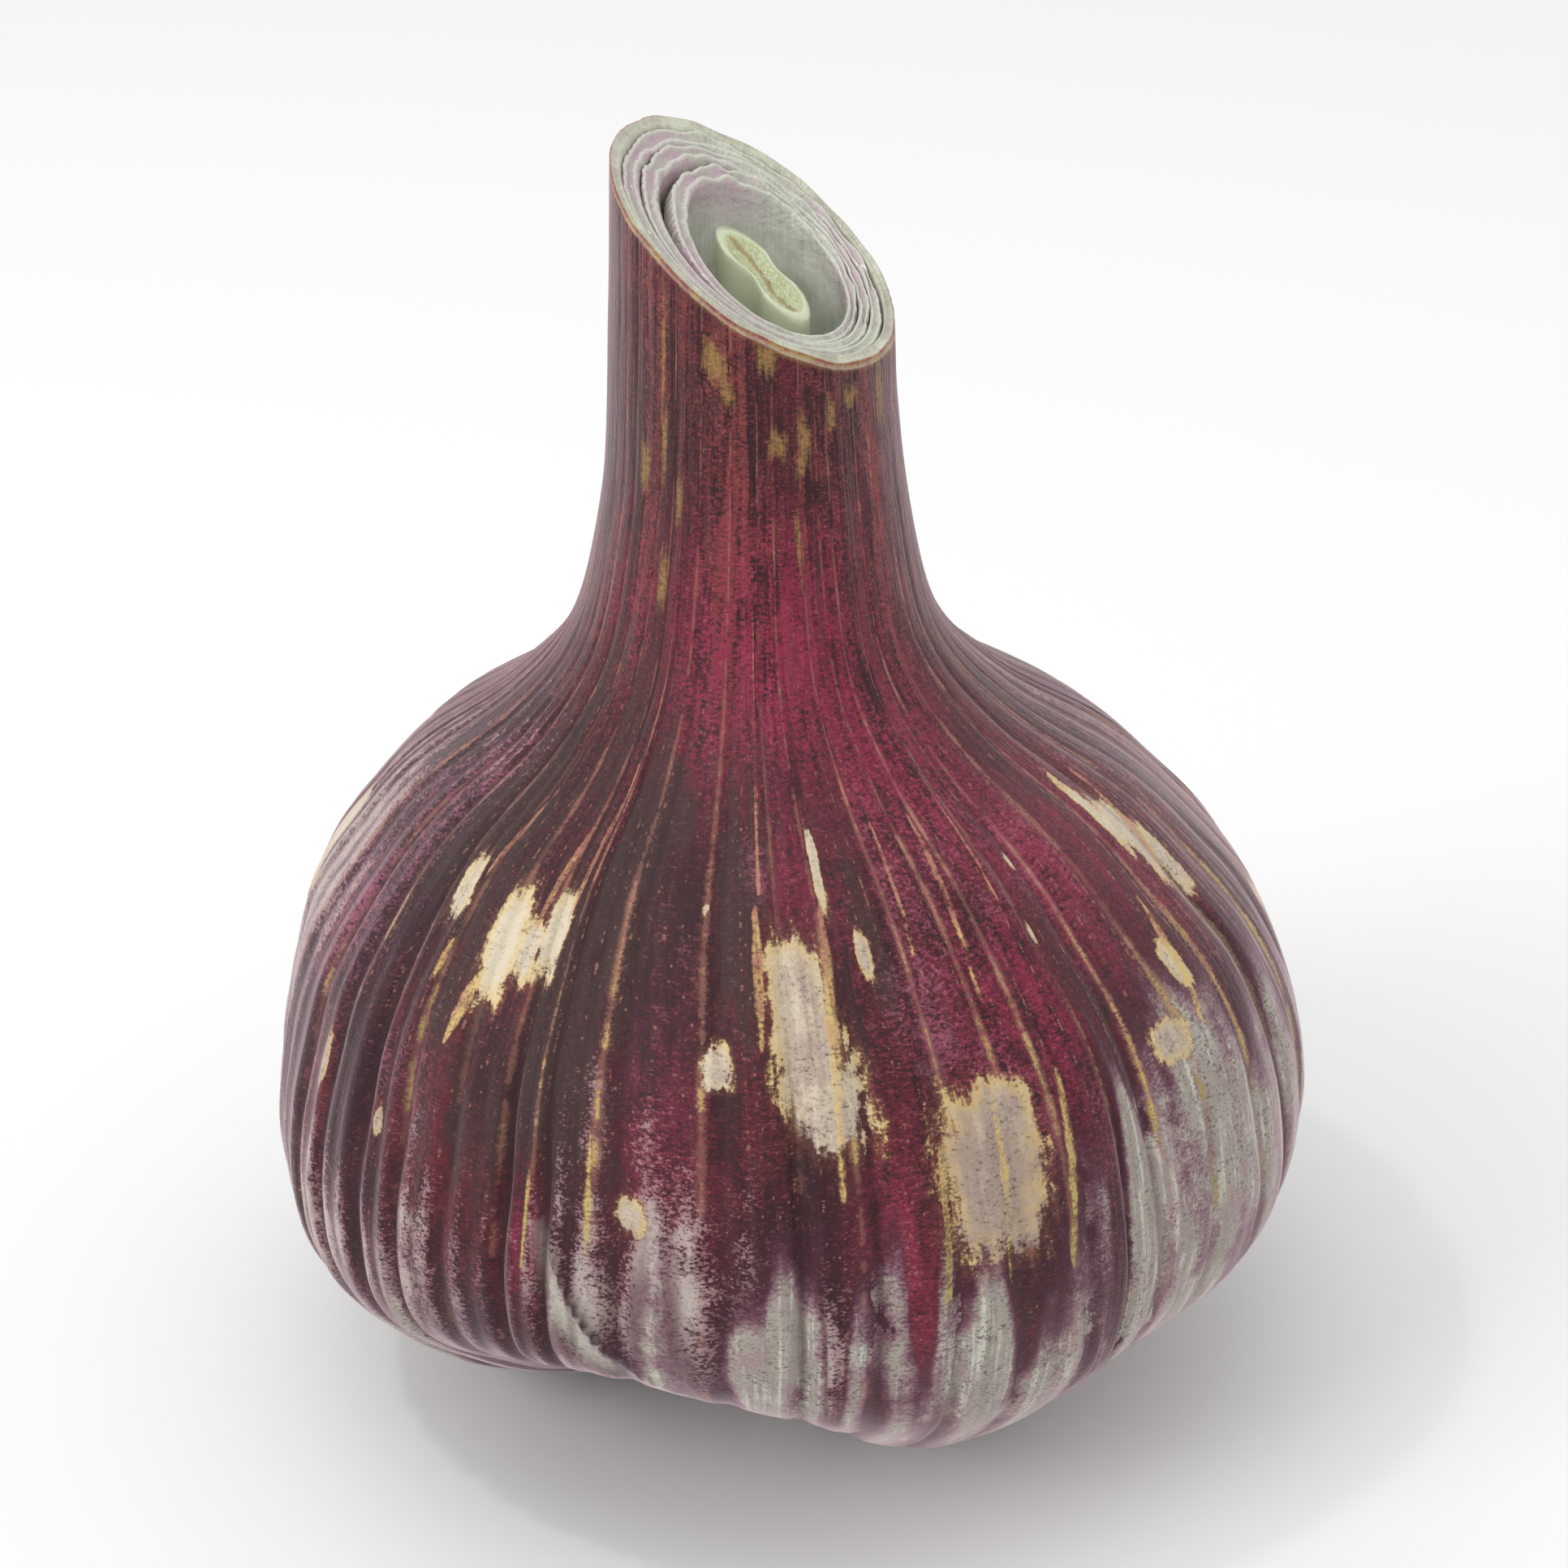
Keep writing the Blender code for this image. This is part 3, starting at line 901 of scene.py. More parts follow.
PATCHES = (
    Patch(-37.0, 55.0, 2.6, 4.2, 1.0),
    Patch(-29.3, 56.3, 3.0, 3.2, 1.0),
    Patch(-33.0, 55.0, 2.0, 2.2, 0.8),
    Patch(-48.5, 57.0, 2.2, 2.6, 0.8),
    Patch(-92.0, 50.5, 4.6, 5.0, 1.0),
    Patch(7.3, 62.2, 0.9, 3.6, 0.9),
    Patch(2.1, 54.4, 4.2, 3.8, 0.5),
    Patch(2.6, 50.8, 4.8, 4.4, 0.4),
    Patch(3.8, 48.4, 5.0, 3.4, 0.55),
    Patch(11.0, 56.6, 1.0, 1.6, 0.4),
    Patch(-7.6, 50.2, 1.7, 1.6, 0.7),
    Patch(-9.0, 59.3, 0.5, 0.5, 0.7),
    Patch(20.4, 43.2, 6.6, 5.4, 0.15),
    Patch(23.0, 46.4, 3.4, 2.6, 0.3),
    Patch(64.0, 59.5, 1.3, 3.4, 0.8),
    Patch(66.8, 57.2, 2.4, 3.6, 0.7),
    Patch(69.0, 54.6, 1.8, 2.8, 0.6),
    Patch(56.0, 50.4, 1.3, 1.6, 0.6),
    Patch(51.0, 47.0, 2.4, 1.4, 0.5),
    Patch(88.0, 44.0, 3.4, 5.0, 0.8),
    Patch(38.0, 55.5, 0.6, 0.9, 0.5),
    Patch(44.0, 60.0, 0.6, 0.8, 0.6),
    Patch(-14.0, 41.2, 1.3, 1.5, 0.4),
    Patch(-62.0, 43.0, 0.9, 2.0, 0.3),
    Patch(-49.5, 42.0, 0.7, 1.2, 0.3),
    Patch(112.0, 52.0, 3.4, 4.4, 0.8),
    Patch(121.0, 45.0, 2.6, 3.6, 0.3),
    Patch(140.0, 56.0, 2.0, 3.8, 0.8),
    Patch(152.0, 42.0, 4.6, 5.0, 0.3),
    Patch(171.0, 51.0, 3.2, 4.4, 0.8),
    Patch(-168.0, 57.0, 1.8, 3.0, 0.9),
    Patch(-152.0, 46.0, 4.2, 5.4, 0.5),
    Patch(-134.0, 54.0, 2.4, 3.4, 0.9),
    Patch(-116.0, 45.0, 2.8, 4.0, 0.4),
    Patch(-106.0, 57.0, 1.3, 2.6, 0.8),
)

OCHRE_BLOTCHES = (
    Patch(-13.5, 93.3, 3.4, 1.1),
    Patch(-9.5, 91.8, 1.8, 0.8),
    Patch(4.0, 95.5, 3.6, 0.9),
    Patch(8.0, 89.1, 3.2, 1.2),
    Patch(18.5, 89.8, 2.4, 2.0),
    Patch(17.0, 87.2, 2.0, 1.0),
    Patch(30.5, 92.8, 1.8, 1.4),
    Patch(45.0, 94.4, 3.2, 0.8),
    Patch(61.0, 93.6, 2.6, 2.2),
    Patch(-37.0, 91.5, 1.0, 3.4),
    Patch(-36.0, 86.5, 1.0, 2.0),
    Patch(-27.0, 83.6, 1.8, 1.2),
    Patch(-46.0, 85.0, 2.0, 1.2),
    Patch(-33.0, 79.0, 1.8, 1.4),
    Patch(14.5, 81.6, 0.9, 1.8),
    Patch(120.0, 91.0, 4.4, 1.4),
    Patch(150.0, 88.0, 3.0, 2.0),
    Patch(-160.0, 93.0, 4.4, 1.2),
    Patch(-120.0, 86.0, 2.6, 2.0),
)

STREAKS = (
    Streak((-27.6, 57.0), (-25.2, 68.5), 0.5),
    Streak((-40.5, 48.5), (-38.5, 53.5), 0.6),
    Streak((-46.5, 51.0), (-45.5, 54.5), 0.5),
    Streak((-33.4, 56.0), (-31.0, 63.5), 0.5),
    Streak((-46.0, 58.0), (-43.5, 65.0), 0.4),
    Streak((4.4, 43.0), (6.7, 60.0), 0.65),
    Streak((-2.9, 51.5), (-2.9, 60.0), 0.5),
    Streak((-2.2, 60.0), (-1.6, 78.0), 0.3),
    Streak((13.8, 35.5), (14.6, 46.0), 0.4),
    Streak((20.8, 37.0), (22.4, 48.6), 0.45),
    Streak((27.4, 36.6), (30.4, 49.0), 0.5),
    Streak((24.5, 52.5), (27.5, 66.0), 0.35),
    Streak((18.0, 56.0), (20.0, 66.0), 0.3),
    Streak((33.0, 56.0), (36.5, 68.0), 0.3),
    Streak((66.0, 50.0), (70.0, 62.5), 0.4),
    Streak((55.0, 46.0), (58.0, 55.0), 0.4),
    Streak((-25.5, 37.0), (-25.0, 44.0), 0.4),
    Streak((-17.4, 38.0), (-17.0, 46.5), 0.4),
    Streak((100.0, 44.0), (103.0, 58.0), 0.5),
    Streak((128.0, 40.0), (130.0, 60.0), 0.45),
    Streak((150.0, 38.0), (152.0, 50.0), 0.5),
    Streak((170.0, 44.0), (172.0, 62.0), 0.45),
    Streak((-154.0, 38.0), (-152.0, 54.0), 0.5),
    Streak((-136.0, 50.0), (-132.0, 66.0), 0.4),
    Streak((-118.0, 42.0), (-117.0, 58.0), 0.45),
)

CRIMSON_GLOWS = (
    Glow(8, 75, 40, 8, 1.0),
    Glow(34, 68, 24, 10, 0.9),
    Glow(50, 60, 20, 8, 0.8),
    Glow(30, 52, 13, 8, 0.75),
    Glow(-30, 77, 30, 5, 0.5),
    Glow(4, 64, 8, 8, 0.5),
    Glow(-12, 44, 5, 8, 0.5),
    Glow(-25, 38.5, 3, 3.5, 1.0),
    Glow(9, 38, 4, 9, 0.7),
    Glow(140, 70, 34, 10, 0.8),
    Glow(-160, 62, 26, 14, 0.7),
    Glow(-110, 70, 22, 10, 0.6),
)

BLACK_GLOWS = (
    Glow(-44, 62, 30, 12, 0.55),
    Glow(-58, 38, 22, 14, 0.35),
    Glow(-28, 48, 10, 8, 0.5),
    Glow(-66, 84, 22, 8, 0.45),
    Glow(14, 56, 5, 7, 0.5),
    Glow(64, 66, 12, 6, 0.35),
    Glow(84, 60, 14, 8, 0.3),
    Glow(130, 58, 18, 12, 0.4),
    Glow(180, 46, 20, 14, 0.4),
    Glow(-130, 60, 24, 14, 0.5),
)

# Granular dust zones. The ones round columns -84 and -70 also paint the left side's sheen as lighter colour.
DUST_AND_SHEEN_GLOWS = (
    Glow(-60, 30, 46, 13, 0.95),
    Glow(-16, 35, 15, 12, 1.0),
    Glow(-16, 46, 6, 7, 0.7),
    Glow(-84, 50, 17, 24, 1.0),
    Glow(-70, 66, 22, 8, 0.65),
    Glow(92, 66, 16, 10, 0.5),
    Glow(0, 34, 8, 8, 0.8),
    Glow(160, 34, 60, 12, 0.9),
    Glow(-130, 36, 40, 12, 0.9),
)

# Lilac zones. The ones round columns -70 and -50 also paint the left side's sheen as lighter colour.
LILAC_AND_SHEEN_GLOWS = (
    Glow(-70, 56, 20, 18, 1.1),
    Glow(-50, 46, 10, 6, 0.7),
    Glow(84, 62, 14, 10, 0.8),
    Glow(24, 47, 6, 6, 1.0),
    Glow(36, 44, 4, 6, 0.9),
    Glow(14, 53, 4, 5, 0.7),
    Glow(16, 54, 12, 8, 0.7),
    Glow(24, 60, 16, 12, 0.75),
    Glow(42, 60, 16, 10, 0.7),
    Glow(30, 84, 16, 8, 0.5),
    Glow(34, 72, 12, 8, 0.5),
    Glow(-2, 62, 3, 2.5, 0.8),
    Glow(5, 42, 6, 6, 0.6),
    Glow(150, 58, 30, 12, 0.7),
    Glow(-120, 52, 26, 12, 0.6),
)

PALE_FROM = (
    (-180, 32),
    (-150, 34),
    (-120, 29),
    (-90, 25),
    (-60, 27),
    (-40, 29),
    (-20, 33),
    (-8, 37),
    (0, 40),
    (12, 36),
    (22, 38),
    (32, 42),
    (42, 48),
    (55, 48),
    (70, 46),
    (90, 45),
    (110, 39),
    (140, 36),
    (180, 32),
)

PALE_GLOWS = (
    Glow(-5.5, 32, 2.2, 4, 0.9),
    Glow(-0.5, 35.5, 2.2, 5.5, 1.3),
    Glow(6.5, 37, 1.8, 4, 0.8),
    Glow(3.4, 33, 1.0, 8, -1.6),
    Glow(1.4, 42, 1.8, 3.5, 0.7),
    Glow(7.6, 41, 1.8, 3.5, 0.7),
    Glow(-9, 40, 1.2, 9, -1.2),
    Glow(11.5, 37, 1.2, 7, -1.4),
    Glow(16.5, 32, 3.0, 5, 0.9),
    Glow(24, 34, 3.0, 5, -0.8),
    Glow(35, 38, 2.4, 8, -1.3),
    Glow(43, 41, 3.4, 9, 1.0),
    Glow(51, 36, 1.4, 8, -0.7),
    Glow(62, 40, 1.4, 9, -0.6),
    Glow(74, 38, 1.8, 9, -0.9),
)


def columns_apart(column: Array, centre: float) -> Array:
    """Returns the signed distance round the bulb, in degrees, of columns given in degrees."""
    return (column - centre + 180) % 360 - 180


def patch_field(patches: Sequence[Patch], column: Array, along: Array) -> tuple[Array, Array]:
    """Returns 1 in the middle of a patch, 0 at its edge and -1 outside, and how light it is.

    Args:
        patches: The patches.
        column: Each point's column, in degrees.
        along: How far each point lies up the skin.

    Returns:
        Where the patches are, and how light.
    """
    field = np.full_like(column, -1.0)
    light = np.full_like(column, 0.5)
    for patch in patches:
        across = np.abs(columns_apart(column, patch.column)) / patch.half_width
        up = np.abs(along - patch.along) / patch.half_height
        here = 1 - (across**3 + up**3) ** (1 / 3)
        light = np.where(here > field, patch.light, light)
        field = np.maximum(field, here)
    return field, light


def streak_field(column: Array, along: Array) -> Array:
    """Returns 1 on the line of a streak, 0 at its edge and -1 outside.

    Args:
        column: Each point's column, in degrees.
        along: How far each point lies up the skin.

    Returns:
        Where the streaks are.
    """
    field = np.full_like(column, -1.0)
    for streak in STREAKS:
        rise = streak.high[1] - streak.low[1]
        t = np.clip((along - streak.low[1]) / rise, 0.0, 1.0)
        line = streak.low[0] + (streak.high[0] - streak.low[0]) * t
        taper = 4 * t * (1 - t)
        across = np.abs(columns_apart(column, 0.0) - line) / (streak.half_width * (0.5 + 0.9 * taper))
        field = np.maximum(field, np.where((t > 0) & (t < 1), 1 - across, -1.0))
    return field


def glow_field(glows: Sequence[Glow], column: Array, along: Array, join: np.ufunc = np.maximum) -> Array:
    """Returns the strongest of the soft zones at each point, or what another way of joining gives.

    Args:
        glows: The soft zones.
        column: Each point's column, in degrees.
        along: How far each point lies up the skin.
        join: How zones that overlap are joined.

    Returns:
        The zones' strength at each point.
    """
    field = np.zeros_like(column)
    for glow in glows:
        across = columns_apart(column, glow.column) / glow.half_width
        up = (along - glow.along) / glow.half_height
        field = join(field, glow.strength * np.exp(-(across**2) - up**2))
    return field


# Meshes.


def new_layered_profile(points: Sequence[tuple[float, float]], marks: Sequence[float]) -> bmesh.types.BMesh:
    """Starts a bmesh with an open profile in the XZ plane.

    Args:
        points: Radius and height of each vertex, in millimetres.
        marks: A number for each vertex, kept in the float layer named along.

    Returns:
        The bmesh.
    """
    shape = bmesh.new()
    layer = shape.verts.layers.float.new("along")
    corners = []
    for (radius, height), mark in zip(points, marks):
        corner = shape.verts.new((radius * MM, 0.0, height * MM))
        corner[layer] = mark
        corners.append(corner)
    for pair in zip(corners, corners[1:]):
        shape.edges.new(pair)
    return shape


def spin_round(shape: bmesh.types.BMesh, columns: int) -> None:
    """Spins all of the shape once round +Z and welds what meets.

    Args:
        shape: The bmesh, which holds only the profile.
        columns: How many columns there are round.
    """
    geometry = [*shape.verts, *shape.edges]
    bmesh.ops.spin(
        shape, geom=geometry, cent=(0, 0, 0), axis=(0, 0, 1), angle=FULL_TURN, steps=columns, use_merge=True
    )
    bmesh.ops.remove_doubles(shape, verts=shape.verts, dist=WELD)


def to_object(name: str, shape: bmesh.types.BMesh, sharp_degrees: float = 60.0) -> bpy.types.Object:
    """Makes an object of a finished bmesh, smooth but for its sharp edges.

    Args:
        name: The object's name.
        shape: The bmesh, which is freed.
        sharp_degrees: The angle from which an edge stays sharp.

    Returns:
        The new object.
    """
    bmesh.ops.recalc_face_normals(shape, faces=shape.faces)
    mesh = bpy.data.meshes.new(name)
    shape.to_mesh(mesh)
    shape.free()
    mesh.shade_smooth()
    mesh.set_sharp_from_angle(angle=math.radians(sharp_degrees))
    made = bpy.data.objects.new(name, mesh)
    bpy.context.scene.collection.objects.link(made)
    return made


def read_points(mesh: bpy.types.Mesh) -> Array:
    """Returns the mesh's vertices, in millimetres, one row each.

    Args:
        mesh: The mesh.

    Returns:
        The points.
    """
    flat = np.empty(len(mesh.vertices) * 3, dtype=np.float32)
    mesh.vertices.foreach_get("co", flat)
    return flat.reshape(-1, 3).astype(float) / MM


def write_points(mesh: bpy.types.Mesh, points: Array) -> None:
    """Moves the mesh's vertices to points given in metres."""
    mesh.vertices.foreach_set("co", points.astype(np.float32).ravel())
    mesh.update()


def read_number(mesh: bpy.types.Mesh, name: str) -> Array:
    """Returns a number attribute of the mesh's vertices.

    Args:
        mesh: The mesh.
        name: The attribute's name.

    Returns:
        One number for each vertex.
    """
    flat = np.empty(len(mesh.vertices), dtype=np.float32)
    mesh.attributes[name].data.foreach_get("value", flat)
    return flat.astype(float)


def write_vector(mesh: bpy.types.Mesh, name: str, parts: tuple[Array, Array, Array]) -> None:
    """Adds a vector attribute to the mesh's vertices."""
    layer = mesh.attributes.new(name, "FLOAT_VECTOR", "POINT")
    layer.data.foreach_set("vector", np.stack(parts, axis=1).astype(np.float32).ravel())


def dress(piece: bpy.types.Object, finish: bpy.types.Material, nodes: Sequence[str]) -> None:
    """Gives a piece its finish, its place on the body and the nodes that it stands for.

    Args:
        piece: The piece.
        finish: Its material.
        nodes: The nodes that it replaces.
    """
    piece.data.materials.append(finish)
    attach(piece, "root")
    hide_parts(*nodes)
    LOG.info("%s: %d faces, stands for %s", piece.name, len(piece.data.polygons), ", ".join(nodes))


@dataclass
class Wrapper:
    """The ribbed skin of bulb and neck, with the cut rim and the bore's wall."""

    form: BulbForm
    columns: int = 480
    spacing: float = 0.60
    bore_rows: int = 14
    bore_clearance: float = 0.27
    lip_depth: float = 0.6
    grain_radius: float = 32.0
    rim_wobble: float = 0.12
    groove_seed: int = 5
    neck_from: float = 62.0
    neck_to: float = 78.0
    neck_calm: float = 0.75
    lap_depth: float = 0.10
    # Where the ribs lap over one another, as column and width, and where the creases are shallower,
    # as column, width and by how much.
    lapped_side: tuple[float, float] = (-55, 45)
    calm_sides: tuple[tuple[float, float, float], ...] = ((78, 48, 0.55), (-88, 40, 0.45))
    # The fold's two ends, as column and along. Its face lies left of that line and its crest on it.
    fold_line: tuple[tuple[float, float], tuple[float, float]] = ((-12.0, 29.0), (-21.7, 39.6))
    fold_from: float = 28.2
    fold_length: float = 12.0
    fold_rise: float = 0.45
    fold_sink: float = 0.25
    face_offset: float = 1.7
    face_width: float = 1.3
    crest_offset: float = 0.2
    crest_width: float = 0.7

    # Radius and height above the cut: a shallow trough with a lip inside.
    RIM = (
        (8.05, 0.05),
        (7.98, 0.06),
        (7.90, 0.0),
        (7.82, -0.09),
        (7.73, -0.12),
        (7.64, -0.07),
        (7.57, 0.02),
        (7.51, 0.0),
        (7.46, -0.14),
    )

    def rim(self) -> list[tuple[float, float]]:
        """Returns the profile over the cut edge and down the bore to its floor.

        Returns:
            Radius and height of each point.
        """
        top, bore = self.form.cut_height, self.form.bore_radius + self.bore_clearance
        points = [(radius, top + up) for radius, up in self.RIM]
        start = top - self.lip_depth
        depth = start - self.form.bore_floor
        points += [(bore, start - depth * row / self.bore_rows) for row in range(self.bore_rows + 1)]
        return [*points, (0.0, self.form.bore_floor)]

    def build(self) -> bpy.types.Object:
        """Builds the wrapper's mesh and writes what its finish reads.

        Returns:
            The finished piece, not yet dressed.
        """
        form = self.form
        outside = form.profile(self.spacing)
        inside = self.rim()
        points = [(0.0, form.recess_top), (form.recess_radius, form.recess_top), *outside, *inside]
        marks = [-2.0, -1.0, *(index * self.spacing for index in range(len(outside)))]
        end = marks[-1]
        marks += [end + 1.0 + index for index in range(len(inside))]
        shape = new_layered_profile(points, marks)
        spin_round(shape, self.columns)
        piece = to_object("striped_wrapper", shape)
        mesh = piece.data
        spots = read_points(mesh)
        along = read_number(mesh, "along")
        column = np.arctan2(spots[:, 0], -spots[:, 1])
        radius, height = np.hypot(spots[:, 0], spots[:, 1]), spots[:, 2]
        skin = (along >= 0) & (along <= end + 0.01)
        self.move(mesh, column, radius, height, along, skin, end)
        self.mark(mesh, column, along, skin, end)
        return piece

    def undulation(self, column: Array, along: Array) -> Array:
        """Returns the skin's slow unevenness, in millimetres.

        Args:
            column: Each point's column, in radians.
            along: How far each point lies up the skin.

        Returns:
            How far the skin is drawn in.
        """
        slow = np.sin(0.33 * along + 2.6 * np.sin(4 * column)) * np.sin(9 * column + 1.7)
        quick = np.sin(0.8 * along + 5 * np.sin(7 * column + 0.5))
        return 0.10 * slow + 0.05 * quick * np.sin(23 * column + 0.9 * np.sin(0.2 * along))

    def fine_ribs(self, column: Array, along: Array) -> Array:
        """Returns the small ridges that lie between the ribs, in millimetres.

        Args:
            column: Each point's column, in radians.
            along: How far each point lies up the skin.

        Returns:
            How far the skin is drawn in.
        """
        wander = 0.25 * np.sin(0.11 * along + 9 * column)
        ridge = 0.5 + 0.5 * np.cos(3 * self.form.rib_count * column + wander)
        present = 0.5 + 0.5 * np.sin(0.17 * along + 11 * np.sin(5 * column))
        return 0.09 * ridge**2 * present

    def move(
        self,
        mesh: bpy.types.Mesh,
        column: Array,
        radius: Array,
        height: Array,
        along: Array,
        skin: Array,
        end: float,
    ) -> None:
        """Moves the spun vertices to the bulb's surface.

        Args:
            mesh: The spun mesh.
            column: Each vertex's column, in radians.
            radius: Its distance from the axis.
            height: Its height.
            along: Its way up the skin.
            skin: Whether it lies on the outer skin.
            end: The skin's length.
        """
        form = self.form
        azimuth = form.drifted(column)
        wander = 1 + 0.22 * np.sin(0.19 * along + 7.3 * np.sin(6 * column))
        wander += 0.12 * np.sin(0.4 * along + 5 * column)
        body = fade(height, form.shoulder_height + 6, 4.0)
        narrow = 0.4 + 0.6 * form.groove(column) ** 1.6
        relief = form.rib_relief(column, height) * wander * self.groove_depth(column) * narrow
        calm = self.neck_calm * smoothstep(self.neck_from, self.neck_to, along)
        relief = (relief + self.half_groove(column) * body) * (1 - calm)
        relief *= 1 - sum(share * bump(column, at, width) for at, width, share in self.calm_sides)
        turn = form.rib_count * column
        lapped = np.sin(turn) + 0.5 * np.sin(2 * turn) + 0.33 * np.sin(3 * turn)
        relief += self.lap_depth * lapped * bump(column, *self.lapped_side) * body
        relief += (self.undulation(column, along) + self.fine_ribs(column, along)) * (0.25 + 0.75 * body)
        foot = smoothstep(form.recess_radius, form.lobe_foot_radius, radius)
        relief = np.where(height < form.underside_height, relief * foot, relief)
        face, crest = self.fold(column, along)
        lobed_radius, lobed_height = form.lobed(radius - np.where(skin, relief, 0.0), azimuth, height)
        new_radius = np.where(skin, lobed_radius + self.fold_rise * crest - self.fold_sink * face, radius)
        new_height = np.where(skin, lobed_height, height)
        wobble = 0.6 * np.sin(7 * column) + 0.3 * np.sin(16 * column + 1.0 + np.sin(5 * column))
        near_rim = smoothstep(end - 1.2, end, along) * (1 - smoothstep(end + 4, end + 8, along))
        x, y = new_radius * np.sin(azimuth), -new_radius * np.cos(azimuth)
        write_points(mesh, form.settle(x, y, new_height, -self.rim_wobble * wobble * near_rim))

    def groove_depth(self, column: Array) -> Array:
        """Returns how deep each groove is, as a share of the usual depth.

        Args:
            column: Each point's column, in radians.

        Returns:
            The share at each column.
        """
        count = self.form.rib_count
        depths = np.random.default_rng(self.groove_seed).uniform(0.5, 1.4, count)
        return depths[np.round(column * count / FULL_TURN).astype(int) % count]

    def half_groove(self, column: Array) -> Array:
        """Returns the depth of the smaller grooves on the ribs' crests, in millimetres.

        Args:
            column: Each point's column, in radians.

        Returns:
            The depth at each column.
        """
        count = self.form.rib_count
        depths = np.random.default_rng(self.groove_seed + 1).uniform(0.35, 1.0, count)
        chosen = depths[np.floor(column * count / FULL_TURN).astype(int) % count]
        return (0.06 + 0.36 * bump(column, -62, 46)) * chosen * (0.5 - 0.5 * np.cos(count * column)) ** 4

    def fold(self, column: Array, along: Array) -> tuple[Array, Array]:
        """Returns the pale face of the fold at the front left and the dark line of its crest, 0 to 1.

        Args:
            column: Each point's column, in radians.
            along: How far each point lies up the skin.

        Returns:
            The face and the crest.
        """
        (foot, low), (top, high) = self.fold_line
        t = np.clip((along - low) / (high - low), 0.0, 1.0)
        across = np.degrees(column) - foot - (top - foot) * t**0.8
        ends = np.sin(np.pi * np.clip((along - self.fold_from) / self.fold_length, 0.0, 1.0)) ** 0.6
        face = np.exp(-(((across + self.face_offset) / self.face_width) ** 2)) * ends
        crest = np.exp(-(((across - self.crest_offset) / self.crest_width) ** 2)) * ends
        return face, crest

    def mark(self, mesh: bpy.types.Mesh, column: Array, along: Array, skin: Array, end: float) -> None:
        """Writes the attributes that the skin's finish reads.

        Args:
            mesh: The moved mesh.
            column: Each vertex's column, in radians.
            along: Its way up the skin.
            skin: Whether it lies on the outer skin.
            end: The skin's length.
        """
        degrees = np.degrees(column)
        write_vector(
            mesh, "grain", (self.grain_radius * np.cos(column), self.grain_radius * np.sin(column), along)
        )
        pale_from = np.interp(degrees, [at for at, _ in PALE_FROM], [low for _, low in PALE_FROM])
        pale = np.clip((pale_from - along) / 9.0, -1.2, 0.45 + 0.6 * bump(column, 75, 36))
        pale += glow_field(PALE_GLOWS, degrees, along, np.add)
        crimson = glow_field(CRIMSON_GLOWS, degrees, along)
        black = glow_field(BLACK_GLOWS, degrees, along)
        write_vector(mesh, "zones", (pale, crimson, black))
        cut = np.where(skin, smoothstep(end - 0.3, end, along), 1.0) * (along >= 0)
        patch, light = patch_field(PATCHES, degrees, along)
        write_vector(mesh, "marks", (patch, streak_field(degrees, along), cut))
        groove = self.form.groove(column) * self.form.rib_share(column) * self.groove_depth(column)
        groove = (groove + 3.0 * self.half_groove(column)) * skin
        neck = smoothstep(66.0, 80.0, along) * skin
        face, crest = self.fold(column, along)
        write_vector(mesh, "form", (groove, neck, (face - 1.4 * crest) * skin))
        dust = glow_field(DUST_AND_SHEEN_GLOWS, degrees, along)
        lilac = glow_field(LILAC_AND_SHEEN_GLOWS, degrees, along)
        ochre, _ = patch_field(OCHRE_BLOTCHES, degrees, along)
        write_vector(mesh, "dust", (dust, lilac, ochre))
        veins = -0.045 + 0.045 * smoothstep(38, 48, along) - 0.02 * smoothstep(62, 76, along)
        low = 1 - smoothstep(54, 62, along)
        veins += 0.03 * bump(column, 66, 26) * low + 0.02 * bump(column, 80, 26)
        veins -= 0.005 * bump(column, -55, 30) * (1 - smoothstep(56, 64, along))
        edge = smoothstep(end - 0.2, end, along) * (1 - smoothstep(end + 1.2, end + 2.2, along))
        write_vector(mesh, "tones", (light, veins, edge))


